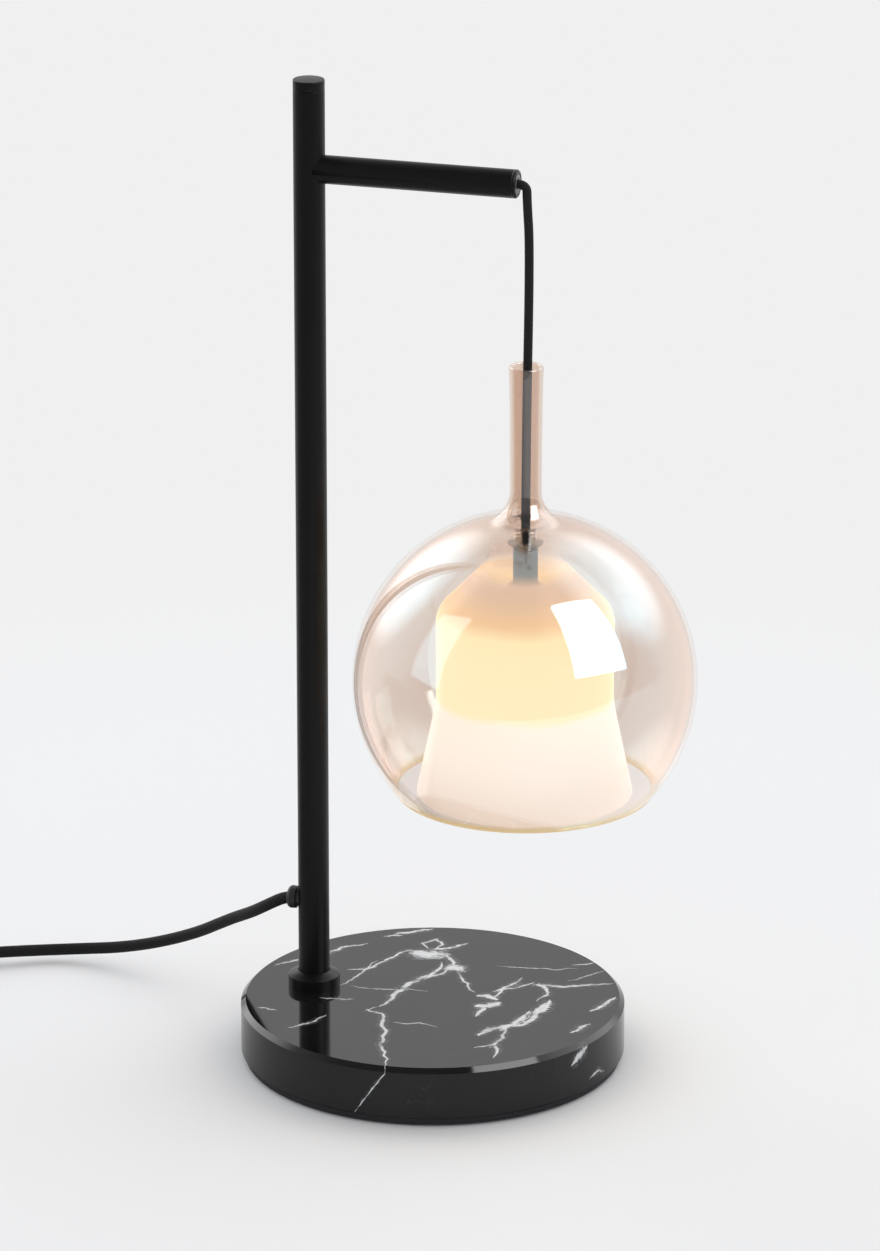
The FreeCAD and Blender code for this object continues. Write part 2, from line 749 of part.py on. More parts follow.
def relief(length, ribs):
    """Tapered sleeve along -X from the origin, with shallow grooves round it."""
    root = relief_root_diameter / 2
    tip = relief_tip_diameter / 2
    bore = mains_radius + slide_gap
    profile = [(0, bore), (0, root)]
    pitch = length / (ribs + 1)
    groove = pitch * relief_groove_share
    depth = (tip - bore) / 2
    for rib in range(ribs):
        place = pitch * (rib + relief_first_rib_share)
        here = root + (tip - root) * place / length
        there = root + (tip - root) * (place + groove) / length
        profile += [(-place, here), (-place, here - depth), (-place - groove, there - depth),
                    (-place - groove, there)]
    profile += [(-length, tip), (-length, bore)]
    return turned_lying(profile, 0)


def make_switch(entry, heading):
    """Two-part housing with its rocker, along +X from the origin, then laid on the lead."""
    half = switch_height / 2
    blank = Part.makeBox(switch_length, switch_width, switch_height, point(0, -switch_width / 2, -half))
    upright_edges = [edge for edge in blank.Edges
                     if abs(edge.Vertexes[0].Z - edge.Vertexes[1].Z) > half]
    blank = blank.makeFillet(switch_rounding, upright_edges)
    rim_edges = [edge for edge in blank.Edges if abs(abs(edge.CenterOfMass.z) - half) < slide_gap]
    blank = blank.makeFillet(switch_edge_rounding, rim_edges)
    inset = switch_wall + switch_rounding
    inside = Part.makeBox(switch_length - 2 * inset, switch_width - 2 * switch_wall,
                          switch_height - 2 * switch_wall,
                          point(inset, switch_wall - switch_width / 2, switch_wall - half))
    middle = switch_length / 2
    window = Part.makeBox(rocker_length + 2 * rocker_gap, rocker_width + 2 * soft_gap, switch_height,
                          point(middle - rocker_length / 2 - rocker_gap, -rocker_width / 2 - soft_gap, 0))
    bore = Part.makeCylinder(mains_radius + slide_gap, switch_length + 2 * cut_overrun,
                             point(-cut_overrun, 0, 0), point(1, 0, 0))
    halves = []
    for sign in (-1, 1):
        keep = Part.makeBox(switch_length + 2 * cut_overrun, 2 * switch_width, switch_height,
                            point(-cut_overrun, -switch_width, 0 if sign > 0 else -switch_height))
        halves.append(blank.common(keep).cut(inside).cut(bore))
    lower, upper = halves
    upper = upper.cut(window)
    screws = []
    for side in (-1, 1):
        x = middle + side * switch_screw_offset
        y = side * (switch_width / 2 - switch_rounding)
        shank_length = switch_height - switch_wall - switch_screw_head_height
        shank = Part.makeCylinder(switch_screw_diameter / 2, shank_length,
                                  point(x, y, switch_screw_head_height - half))
        head = Part.makeCylinder(switch_screw_head_diameter / 2, switch_screw_head_height - soft_gap,
                                 point(x, y, -half + soft_gap))
        slot = Part.makeBox(switch_screw_head_diameter, soft_gap * 2, switch_screw_head_height / 2,
                            point(x - switch_screw_head_diameter / 2, y - soft_gap, -half + soft_gap))
        hole = Part.makeCylinder(switch_screw_diameter / 2 + slide_gap, switch_height - switch_wall,
                                 point(x, y, -half - cut_overrun + switch_wall))
        sink = Part.makeCylinder(switch_screw_head_diameter / 2 + slide_gap, switch_screw_head_height,
                                 point(x, y, -half))
        boss_radius = (switch_screw_head_diameter + switch_wall) / 2
        boss = Part.makeCylinder(boss_radius, switch_height - 2 * switch_wall,
                                 point(x, y, switch_wall - half))
        boss = boss.common(blank).cut(bore)
        lower_half = Part.makeBox(switch_length, switch_width, half, point(0, -switch_width / 2, -half))
        upper_half = Part.makeBox(switch_length, switch_width, half, point(0, -switch_width / 2, 0))
        lower = lower.fuse(boss.common(lower_half)).cut(hole).cut(sink)
        upper = upper.fuse(boss.common(upper_half)).cut(hole)
        screws.append(head.fuse(shank).cut(slot))
    pivot_height = half - rocker_depth / 2
    pin = Part.makeCylinder(rocker_pin_diameter / 2, switch_width - 2 * switch_wall - 2 * slide_gap,
                            point(middle, -switch_width / 2 + switch_wall + slide_gap, pivot_height),
                            point(0, 1, 0))
    half_length = rocker_length / 2
    crest = half + rocker_rise
    sag = half + rocker_rise / 4
    keel = pivot_height - rocker_depth
    outline = Part.Wire([
        Part.Arc(point(middle - half_length, 0, crest), point(middle, 0, sag),
                 point(middle + half_length, 0, crest)).toShape(),
        Part.LineSegment(point(middle + half_length, 0, crest),
                         point(middle + half_length - soft_gap, 0, pivot_height)).toShape(),
        Part.LineSegment(point(middle + half_length - soft_gap, 0, pivot_height),
                         point(middle, 0, keel)).toShape(),
        Part.LineSegment(point(middle, 0, keel),
                         point(middle - half_length + soft_gap, 0, pivot_height)).toShape(),
        Part.LineSegment(point(middle - half_length + soft_gap, 0, pivot_height),
                         point(middle - half_length, 0, crest)).toShape()])
    rocker = Part.Face(outline).extrude(point(0, rocker_width, 0))
    rocker.translate(point(0, -rocker_width / 2, 0))
    bore_for_pin = Part.makeCylinder(rocker_pin_diameter / 2 + slide_gap, switch_width,
                                     point(middle, -switch_width / 2, pivot_height), point(0, 1, 0))
    rocker = rocker.cut(bore_for_pin)
    rocker.rotate(point(middle, 0, pivot_height), point(0, 1, 0), -rocker_tilt)
    upper = upper.cut(bore_for_pin)
    core = Part.makeCylinder(mains_radius, switch_length, point(0, 0, 0), point(1, 0, 0))
    clear_of_core = Part.makeBox(rocker_length + switch_rounding, switch_width, switch_height,
                                 point(middle - rocker_length / 2 - switch_rounding / 2, -switch_width / 2,
                                       -half))
    core = core.cut(clear_of_core)
    entry_relief = relief(relief_length, relief_rib_count)
    exit_relief = relief(relief_length, relief_rib_count)
    exit_relief.rotate(point(0, 0, 0), point(0, 0, 1), 180)
    exit_relief.translate(point(switch_length, 0, 0))
    place = frame_at(entry, heading)
    pieces = (
        (lower, "switch_lower_half"),
        (upper, "switch_upper_half"),
        (Part.makeCompound(screws), "switch_screws"),
        (rocker, "switch_rocker"),
        (pin, "switch_rocker_pin"),
        (core, "switch_cord_ends"),
        (Part.makeCompound([entry_relief, exit_relief]), "switch_strain_reliefs"))
    for shape, node in pieces:
        save(placed(shape, place), node)
    pivot = place.multVec(point(middle, 0, pivot_height))
    side = place.Rotation.multVec(point(0, 1, 0))
    print("rocker pivot", [round(value, 3) for value in pivot], "axis", [round(value, 5) for value in side],
          "travel", 2 * rocker_tilt)
    return place.multVec(point(switch_length, 0, 0))


def coil_radius(turns):
    """Distance from the coil's centre after some turns: in to the middle, then out again."""
    away = abs(turns - coil_turns_per_layer)
    if away < coil_reverse_half_width:
        away = away ** 2 / (2 * coil_reverse_half_width) + coil_reverse_half_width / 2
    return coil_inner_radius + layer_pitch * away


def coil_height(turns):
    """Height of the cord's centre line: one layer up across the reversing half turn."""
    share = (turns - coil_turns_per_layer + coil_reverse_half_width) / (2 * coil_reverse_half_width)
    share = min(max(share, 0), 1)
    return floor_axis_height + layer_pitch * share * share * (3 - 2 * share)


def coil_place(turns, start_bearing):
    bearing = start_bearing + 2 * math.pi * turns
    radius = coil_radius(turns)
    return point(radius * math.cos(bearing), radius * math.sin(bearing), coil_height(turns))


def coil_heading(turns, start_bearing):
    ahead = coil_place(turns + coil_probe_turns, start_bearing)
    heading = ahead - coil_place(turns - coil_probe_turns, start_bearing)
    return heading.normalize()


def biarc(start, start_heading, end, end_heading):
    """Two arcs that leave start and reach end along their headings."""
    span = end - start
    both = start_heading + end_heading
    spread = 2 * (1 - start_heading.dot(end_heading))
    along = span.dot(both)
    reach = (math.sqrt(along ** 2 + spread * span.dot(span)) - along) / spread
    middle = (start + start_heading * reach + end - end_heading * reach) / 2
    middle_heading = (end - end_heading * reach) - (start + start_heading * reach)
    middle_heading.normalize()
    return [arc_leaving(start, start_heading, middle).toShape(),
            arc_leaving(middle, middle_heading, end).toShape()]


def least_self_gap(wire, radius):
    """Least clear distance between stretches of a cord that lie over a turn's share apart."""
    count = int(wire.Length / radius)
    places = wire.discretize(Number=count)
    apart = int(coil_inner_radius * math.pi / (wire.Length / count))
    least = wire.Length
    for first in range(count - apart):
        here = places[first]
        for second in range(first + apart, count):
            least = min(least, here.distanceToPoint(places[second]))
    return least - 2 * radius


def make_coil(entry, heading):
    """Put-away length: in along the lower layer and out along the upper one."""
    total = 2 * coil_turns_per_layer
    level = math.atan2(heading.y, heading.x)
    probe = coil_heading(0, 0)
    start_bearing = level - math.atan2(probe.y, probe.x)
    first = entry + heading * mains_cord_diameter
    centre = first - coil_place(0, start_bearing)
    steps = int(round(total * coil_steps_per_turn))
    edges = [Part.LineSegment(entry, first).toShape()]
    reached = first
    way = heading
    for step in range(1, steps + 1):
        turns = total * step / steps
        place = coil_place(turns, start_bearing) + centre
        direction = coil_heading(turns, start_bearing)
        if step == steps:
            direction.z = 0
            direction.normalize()
        edges += biarc(reached, way, place, direction)
        reached = place
        way = direction
    after = reached + way * mains_cord_diameter
    edges.append(Part.LineSegment(reached, after).toShape())
    wire = Part.Wire(edges)
    coil = tube(wire, heading, mains_radius)
    save(coil, "mains_cord_coil")
    section = math.pi * mains_radius ** 2
    print("coil centre", [round(value, 2) for value in centre], "start bearing",
          round(math.degrees(start_bearing), 3), "length", round(wire.Length, 1),
          "least self-gap", round(least_self_gap(wire, mains_radius), 2),
          "volume over section times length", round(coil.Volume / (section * wire.Length), 4))
    make_tie(centre, start_bearing)
    return after, way, wire.Length


def make_tie(centre, start_bearing):
    """Flat band round the turns, clear of both loose ends and of the climb."""
    first = (math.radians(tie_bearing) - start_bearing) / (2 * math.pi) % 1
    crossings = []
    while first < 2 * coil_turns_per_layer:
        crossings.append(coil_radius(first))
        first += 1
    outer = max(crossings) + mains_radius + tie_side_gap
    inner = min(crossings) - mains_radius - tie_side_gap
    bottom = coil_lift - tie_gap
    top = coil_lift + layer_pitch + mains_cord_diameter + tie_gap

    def ring(grow):
        block = Part.makeBox(outer - inner + 2 * grow, tie_width, top - bottom + 2 * grow,
                             point(inner - grow, -tie_width / 2, bottom - grow))
        long_edges = [edge for edge in block.Edges
                      if abs(edge.Vertexes[0].Y - edge.Vertexes[1].Y) > tie_width / 2]
        return block.makeFillet(mains_radius / 2 + grow, long_edges)

    hollow = ring(0)
    band = ring(tie_thickness).cut(hollow)
    band.rotate(point(0, 0, 0), point(0, 0, 1), tie_bearing)
    band.translate(centre)
    save(band, "cord_tie")


def make_plug(entry, heading):
    """Flat two-pin plug along +X from the origin, then laid at the tail's end."""
    half = plug_height / 2
    rear = plug_width / 2 - plug_rounding
    nose = plug_nose_width / 2 - plug_rounding
    widest = plug_length * plug_widest_share
    corners = [(0, -rear), (widest, -plug_width / 2), (plug_length, -nose),
               (plug_length, nose), (widest, plug_width / 2), (0, rear)]
    wire = Part.makePolygon([point(x, y, -half) for x, y in corners + corners[:1]])
    body = Part.Face(wire).extrude(point(0, 0, plug_height))
    standing = [edge for edge in body.Edges if abs(edge.Vertexes[0].Z - edge.Vertexes[1].Z) > half]
    body = body.makeFillet(plug_rounding, standing)
    rims = [edge for edge in body.Edges if abs(abs(edge.CenterOfMass.z) - half) < slide_gap]
    body = body.makeFillet(plug_rounding / 2, rims)
    pins = []
    for side in (-1, 1):
        y = side * plug_pin_spacing / 2
        root = plug_length - plug_pin_length * plug_pin_root_share
        tip_centre = plug_length + plug_pin_length - plug_pin_diameter / 2
        shank = Part.makeCylinder(plug_pin_diameter / 2, tip_centre - root,
                                  point(root, y, 0), point(1, 0, 0))
        tip = Part.makeSphere(plug_pin_diameter / 2, point(tip_centre, y, 0))
        pins.append(shank.fuse(tip).removeSplitter())
        hole = Part.makeCylinder(plug_pin_diameter / 2 + slide_gap, plug_length,
                                 point(root - slide_gap, y, 0), point(1, 0, 0))
        body = body.cut(hole)
    place = frame_at(entry, heading)
    save(placed(body, place), "plug_body")
    save(placed(Part.makeCompound(pins), place), "plug_pins")
    save(placed(relief(plug_relief_length, relief_rib_count), place), "plug_strain_relief")


def make_mains_cord():
    """Lead, switch, link, coil, tail and plug, each from where the one before it ends."""
    lead, lead_length = cord_tube("mains lead", mains_route, mains_radius)
    save(lead, "mains_cord_lead")
    entry = point(*mains_route[-1])
    heading = entry - point(*mains_route[-2])
    heading.normalize()
    switch_end = make_switch(entry, heading)
    run = relief_length * cord_run_share
    link_corner = switch_end + heading * run
    landing = link_corner + heading * run
    landing.z = floor_axis_height
    link_end = landing + heading * (run / 2)
    coil_end, leaving, coil_length = make_coil(link_end, heading)
    link, link_length = cord_tube("link", (switch_end, link_corner, landing, link_end), mains_radius)
    save(link, "mains_cord_link")
    run = plug_relief_length * cord_run_share
    ease = coil_end + leaving * tail_ease_length
    down = ease + leaving * run
    down.z = plug_axis_height
    plug_entry = down + leaving * run
    tail, tail_length = cord_tube("tail", (coil_end, ease, down, plug_entry), mains_radius)
    save(tail, "mains_cord_tail")
    make_plug(plug_entry, leaving)
    for name, places in (("link", (switch_end, link_corner, landing, link_end)),
                         ("tail", (coil_end, ease, down, plug_entry))):
        print(name, "corners", [[round(value, 2) for value in place] for place in places])
    return lead_length + switch_length + link_length + coil_length + tail_length


os.makedirs("parts", exist_ok=True)
make_base()
make_pole()
make_arm()
make_grommet()
inner_lead, inner_lamp_lead = make_inner_cords()
make_hanging_cord()
make_globe()
make_diffuser()
make_stack()
make_lampholder()
outside = make_mains_cord()
print("mains cord outside the pole", round(outside, 1), "with its end in the pole",
      round(outside + inner_lead, 1))
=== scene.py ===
import json
from math import atan2, cos, degrees, pi, radians, sin, sqrt, tan

import bmesh
import bpy
import numpy as np
from mathutils import Matrix, Vector

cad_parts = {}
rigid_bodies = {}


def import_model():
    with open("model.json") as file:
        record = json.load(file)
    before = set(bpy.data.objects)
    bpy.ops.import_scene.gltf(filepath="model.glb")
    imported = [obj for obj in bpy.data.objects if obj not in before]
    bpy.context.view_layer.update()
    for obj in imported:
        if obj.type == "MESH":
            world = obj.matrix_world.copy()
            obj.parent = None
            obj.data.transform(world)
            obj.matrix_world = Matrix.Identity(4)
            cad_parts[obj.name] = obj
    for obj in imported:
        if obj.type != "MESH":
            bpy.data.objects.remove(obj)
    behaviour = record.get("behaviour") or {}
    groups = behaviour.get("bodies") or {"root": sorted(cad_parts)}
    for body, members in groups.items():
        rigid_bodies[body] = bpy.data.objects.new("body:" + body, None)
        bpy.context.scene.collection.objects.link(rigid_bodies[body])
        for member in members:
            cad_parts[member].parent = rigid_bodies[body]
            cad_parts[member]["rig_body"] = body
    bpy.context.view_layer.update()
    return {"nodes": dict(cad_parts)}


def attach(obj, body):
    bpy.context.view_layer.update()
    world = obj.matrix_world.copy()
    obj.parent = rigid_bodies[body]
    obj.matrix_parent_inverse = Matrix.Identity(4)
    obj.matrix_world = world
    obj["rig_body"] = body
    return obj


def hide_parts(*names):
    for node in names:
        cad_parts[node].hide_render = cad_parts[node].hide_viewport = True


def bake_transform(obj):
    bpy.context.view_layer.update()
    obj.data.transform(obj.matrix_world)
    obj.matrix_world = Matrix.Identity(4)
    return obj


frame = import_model()
nodes = frame["nodes"]

# Foot pad: a disc of pressed black felt under the whole base, glued to the steel plate so that
# the lamp slides on a table without scratching it. Only its edge is ever seen.


class Wire:
    """One output of a node. Arithmetic on it adds Math nodes to the same tree."""

    def __init__(self, tree, socket=None):
        self.tree = tree
        self.socket = socket

    def node(self, kind, settings=None, values=None, output=0):
        made = self.tree.nodes.new(kind)
        for name, value in (settings or {}).items():
            if name == "stops":
                self.set_stops(made.color_ramp, value)
            else:
                setattr(made, name, value)
        for name, value in (values or {}).items():
            socket = self.pick(made.inputs, name)
            if isinstance(value, Wire):
                self.tree.links.new(value.socket, socket)
            else:
                socket.default_value = value
        return Wire(self.tree, self.pick(made.outputs, output))

    def pick(self, sockets, name):
        if isinstance(name, int):
            return sockets[name]
        return next(socket for socket in sockets if socket.name == name and socket.enabled)

    def set_stops(self, ramp, stops):
        while len(ramp.elements) < len(stops):
            ramp.elements.new(0.5)
        for element, (place, colour) in zip(ramp.elements, stops):
            element.position = place
            element.color = (*colour, 1)

    def math(self, operation, *values):
        return self.node("ShaderNodeMath", {"operation": operation}, dict(enumerate(values)))

    def __add__(self, other):
        return self.math("ADD", self, other)

    def __sub__(self, other):
        return self.math("SUBTRACT", self, other)

    def __rsub__(self, other):
        return self.math("SUBTRACT", other, self)

    def __mul__(self, other):
        return self.math("MULTIPLY", self, other)

    def __truediv__(self, other):
        return self.math("DIVIDE", self, other)

    def __rtruediv__(self, other):
        return self.math("DIVIDE", other, self)

    def __pow__(self, other):
        return self.math("POWER", self, other)

    def __abs__(self):
        return self.math("ABSOLUTE", self)

    __radd__ = __add__
    __rmul__ = __mul__

    def sine(self):
        return self.math("SINE", self)

    def least(self, other):
        return self.math("MINIMUM", self, other)

    def most(self, other):
        return self.math("MAXIMUM", self, other)

    def eased(self, low, high):
        """0 below low, 1 above high and smooth between."""
        return self.node("ShaderNodeMapRange", {"interpolation_type": "SMOOTHSTEP"},
                         {"Value": self, "From Min": low, "From Max": high})

    def mixed(self, first, second):
        """A colour, from first where this is 0 to second where it is 1."""
        return self.node("ShaderNodeMix", {"data_type": "RGBA"},
                         {"Factor": self, "A": first, "B": second}, "Result")

    def between(self, first, second):
        """A surface, from first where this is 0 to second where it is 1."""
        return self.node("ShaderNodeMixShader", {}, {0: self, 1: first, 2: second})

    def solid(self, values):
        """An ordinary surface, from the values of its sockets."""
        return self.node("ShaderNodeBsdfPrincipled", {}, values)

    def clear(self, *colour):
        """A surface that only tints what is behind it."""
        return self.node("ShaderNodeBsdfTransparent", {}, {"Color": rgba(*colour)})

    def mirror(self, roughness, *colour):
        """A surface that only reflects."""
        return self.node("ShaderNodeBsdfAnisotropic", {},
                         {"Color": rgba(*colour), "Roughness": roughness})

    def lit(self, strength):
        """A surface that glows white."""
        return self.node("ShaderNodeEmission", {}, {"Strength": strength})

    def place(self):
        return self.node("ShaderNodeTexCoord", output="Object")

    def along(self, axis):
        """One coordinate of a place or heading."""
        return self.node("ShaderNodeSeparateXYZ", {}, {"Vector": self}, axis)

    def stored(self, name, output="Fac"):
        """What the mesh's points know under this name."""
        return self.node("ShaderNodeAttribute", {"attribute_name": name}, output=output)

    def facing(self):
        """0 where the surface is seen straight on and 1 at its outline."""
        return self.node("ShaderNodeLayerWeight", {}, {"Blend": 0.5}, "Facing")

    def ray(self, kind):
        """1 for rays of this kind."""
        return self.node("ShaderNodeLightPath", output="Is " + kind + " Ray")

    def noise(self, scale, detail=2.0, roughness=0.5, distortion=0.0, vector=None):
        return self.node("ShaderNodeTexNoise", {}, {
            "Vector": vector or self.place(), "Scale": scale, "Detail": detail,
            "Roughness": roughness, "Distortion": distortion})

    def bump(self, strength, distance):
        return self.node("ShaderNodeBump", {},
                         {"Height": self, "Strength": strength, "Distance": distance})


def new_finish(name):
    """An empty material and the wire that its nodes are made from."""
    finish = bpy.data.materials.new(name)
    finish.use_nodes = True
    finish.node_tree.nodes.clear()
    return finish, Wire(finish.node_tree)


def close_finish(finish, surface):
    """The finish, with its nodes ended in this surface."""
    output = finish.node_tree.nodes.new("ShaderNodeOutputMaterial")
    finish.node_tree.links.new(surface.socket, output.inputs["Surface"])
    return finish


def dress(finish, *names):
    """Gives pieces that keep the construction's own mesh their finish."""
    for name in names:
        slots = nodes[name].data.materials
        slots.clear()
        slots.append(finish)


def rgba(red, green, blue):
    return (red, green, blue, 1.0)


def felt_finish():
    finish, wire = new_finish("pressed_felt")
    fibres = wire.noise(900.0, 6.0, 0.7, 1.5)
    return close_finish(finish, wire.solid({
        "Base Color": fibres.mixed(rgba(0.008, 0.008, 0.009), rgba(0.03, 0.03, 0.032)),
        "Roughness": 0.95, "Sheen Weight": 0.3,
        "Normal": fibres.bump(0.6, 0.0004)}))


dress(felt_finish(), "foot_pad")

# Base plate: a blackened steel weight screwed up into the stone with four countersunk screws in
# brass inserts. It stands in from the stone's edge, so only a dark line shows below the marble.


def steel_finish(name, colour, roughness, grain_scale):
    finish, wire = new_finish(name)
    grain = wire.noise(grain_scale, 4.0, 0.6)
    smear = wire.noise(grain_scale / 8, 2.0)
    return close_finish(finish, wire.solid({
        "Base Color": rgba(*colour), "Metallic": 1.0,
        "Roughness": smear * 0.12 + (roughness - 0.06),
        "Normal": grain.bump(0.12, 0.00005)}))


blackened_steel = steel_finish("blackened_steel_plate", (0.06, 0.06, 0.065),
                               roughness=0.5, grain_scale=700.0)
zinc_steel = steel_finish("zinc_plated_steel", (0.55, 0.56, 0.58),
                          roughness=0.32, grain_scale=900.0)
turned_brass = steel_finish("turned_brass", (0.62, 0.44, 0.2),
                            roughness=0.28, grain_scale=1200.0)
dress(blackened_steel, "base_plate")
dress(zinc_steel, "base_plate_screws")
dress(turned_brass, "base_screw_inserts")

# Stone disc: black marble with white calcite veins, sawn, turned and polished all over, with a
# wide polished chamfer round its top edge. The veins run down over the edge.
marble_radius = 0.1
marble_bottom = 0.0045
marble_top = 0.032
marble_chamfer = 0.0025
marble_lower_chamfer = 0.0008
marble_chamfer_shares = (0.04, 0.5, 0.96)
marble_top_middle = 0.004
marble_bottom_middle = 0.02
marble_sides = 640
marble_top_rings = 108
marble_side_rings = 26

# The veins' measures are in millimetres or in shares. A vein is worked out up to its reach.
vein_seed = 7
vein_splits = 3
vein_scatter = 0.075
vein_end_slope = 3.2
vein_end_share = 0.05
vein_end_curve = 0.6
vein_fringe = 2.6
vein_fringe_fade = 1.2
vein_reach = 8.0
no_vein_side = 50.0
no_vein_width = 0.5

# Each vein: half width at its widest in millimetres, then the places that it runs through, in
# millimetres on the top face. The last five run on down the side, at the height given third.
veins = (
    (1.0, (-44, 27), (-37, 44), (-31, 58), (-20, 62)),
    (0.7, (-54, 23), (-44, 27), (-40, 33)),
    (0.6, (-42, 40), (-44, 27), (-47, 11), (-52, -1)),
    (1.6, (-44, 79), (-35, 85), (-26, 92)),
    (0.9, (-49, 74), (-39, 78)),
    (0.9, (-20, 62), (-26, 70), (-21, 77), (-15, 71), (-18, 63)),
    (7.0, (-28, 55), (-19, 56), (-10, 58)),
    (1.4, (-20, 62), (-10, 68), (-3, 77)),
    (1.5, (-11, 62), (-6, 54), (-1, 43)),
    (4.2, (-4, 39), (0, 42), (5, 39)),
    (0.8, (2, 38), (9, 26), (14, 18), (20, 11)),
    (1.9, (-9, 47), (-7, 38), (-9, 30), (-16, 15), (-20, -3), (-23, -22)),
    (1.1, (-14, 20), (-4, 31), (-4, 40)),
    (1.2, (-23, -22), (-27, -28), (-18, -31), (-14, -47), (-9, -61), (-2, -80), (3, -98)),
    (2.6, (22, 6), (28, 8), (34, 4)),
    (3.2, (25, -8), (31, -5), (37, 1)),
    (1.6, (29, -21), (31, -7)),
    (1.2, (31, 6), (33, 22), (38, 38)),
    (0.9, (28, 14), (38, 22), (46, 34)),
    (2.4, (38, -46), (44, -33), (52, -24)),
    (2.0, (46, -36), (53, -16), (54, -6)),
    (2.0, (50, -30), (58, -10), (60, 10)),
    (2.4, (57, -10), (61, 2), (60, 12)),
    (1.4, (54, 8), (55, 25), (49, 30), (62, 31), (75, 38), (86, 43)),
    (1.2, (53, -72), (49, -54), (48, -30)),
    (0.8, (40, -62), (50, -52)),
    (1.5, (84, 2), (89, 13), (92, 25)),
    (1.4, (82, -29), (85, -20), (89, -14)),
    (0.7, (-56, -19), (-48, -17), (-38, -15)),
    (0.6, (-84, -40), (-72, -41)),
    (0.4, (-46, 2), (-24, 3), (-4, 6)),
    (0.4, (20, 50), (40, 52), (63, 58)),
    (0.5, (58, 62), (66, 66), (70, 70)),
    (0.5, (-10, -40), (4, -37), (14, -40)),
    (0.4, (62, 40), (72, 52), (78, 60)),
    (1.1, (-80, 30), (-70, 40), (-66, 52), (-54, 62)),
    (0.8, (-92, 18), (-84, 28), (-74, 34)),
    (0.9, (-60, -62), (-50, -52), (-46, -40)),
    (0.4, (3, -98, 32), (4, -99.9, 29), (-3, -99.9, 20), (-9, -99.5, 11), (-13, -99.1, 5)),
    (2.2, (88, -47.5, 22), (91, -41.5, 26), (93, -36, 29)),
    (0.8, (94, -34, 10), (96.5, -27, 12), (98, -20, 9)),
    (0.9, (-62, 78.4, 28), (-70, 71.4, 18), (-74, 67.2, 8)),
    (0.8, (70, 71.4, 29), (64, 76.8, 16), (60, 80, 6)),
)


def broken_route(route, chance):
    """The route with its runs halved again and again and pushed aside, as a crack in stone."""
    route = np.array([(*place, marble_top * 1000)[:3] for place in route], float)
    for split in range(vein_splits):
        middles = (route[:-1] + route[1:]) / 2
        runs = np.diff(route, axis=0)
        aside = np.stack([-runs[:, 1], runs[:, 0], np.zeros(len(runs))], axis=1)
        middles += aside * chance.normal(0, vein_scatter, len(runs))[:, None]
        woven = np.empty((2 * len(route) - 1, 3))
        woven[::2] = route
        woven[1::2] = middles
        route = woven
    return route


def marble_mesh():
    """Finely divided disc whose points know how far across the nearest vein they lie."""
    flat_radius = marble_radius - marble_chamfer
    rings = [(radius, marble_top) for radius in
             np.linspace(marble_top_middle, flat_radius, marble_top_rings)]
    rings += [(flat_radius + marble_chamfer * share, marble_top - marble_chamfer * share)
              for share in marble_chamfer_shares]
    rings += [(marble_radius, height) for height in
              np.linspace(marble_top - marble_chamfer, marble_bottom + marble_lower_chamfer,
                          marble_side_rings)]
    rings += [(marble_radius - marble_lower_chamfer, marble_bottom),
              (marble_bottom_middle, marble_bottom)]
    rings = np.array(rings)
    turns = np.linspace(0, 2 * pi, marble_sides, endpoint=False)
    places = np.stack([np.outer(rings[:, 0], np.cos(turns)), np.outer(rings[:, 0], np.sin(turns)),
                       np.repeat(rings[:, 1:], marble_sides, axis=1)], axis=-1).reshape(-1, 3)
    count = len(rings)
    here = np.arange(marble_sides)
    after = (here + 1) % marble_sides
    faces = []
    for ring in range(count - 1):
        low = ring * marble_sides
        high = low + marble_sides
        faces += np.stack([here + low, here + high, after + high, after + low], axis=1).tolist()
    faces.append(list(range(marble_sides)))
    faces.append([(count - 1) * marble_sides + index for index in range(marble_sides)][::-1])
    mesh = bpy.data.meshes.new("marble_disc")
    mesh.from_pydata(places.tolist(), [], faces)
    outward = np.zeros_like(places)
    on_side = places[:, 2] < marble_top - marble_chamfer / 2
    outward[~on_side, 2] = 1
    outward[on_side, :2] = places[on_side, :2] / marble_radius
    side, width, near = vein_fields(places * 1000, outward)
    for name, values in (("vein_side", side), ("vein_width", width), ("vein_near", near)):
        mesh.attributes.new(name, "FLOAT", "POINT").data.foreach_set("value", values)
    return mesh


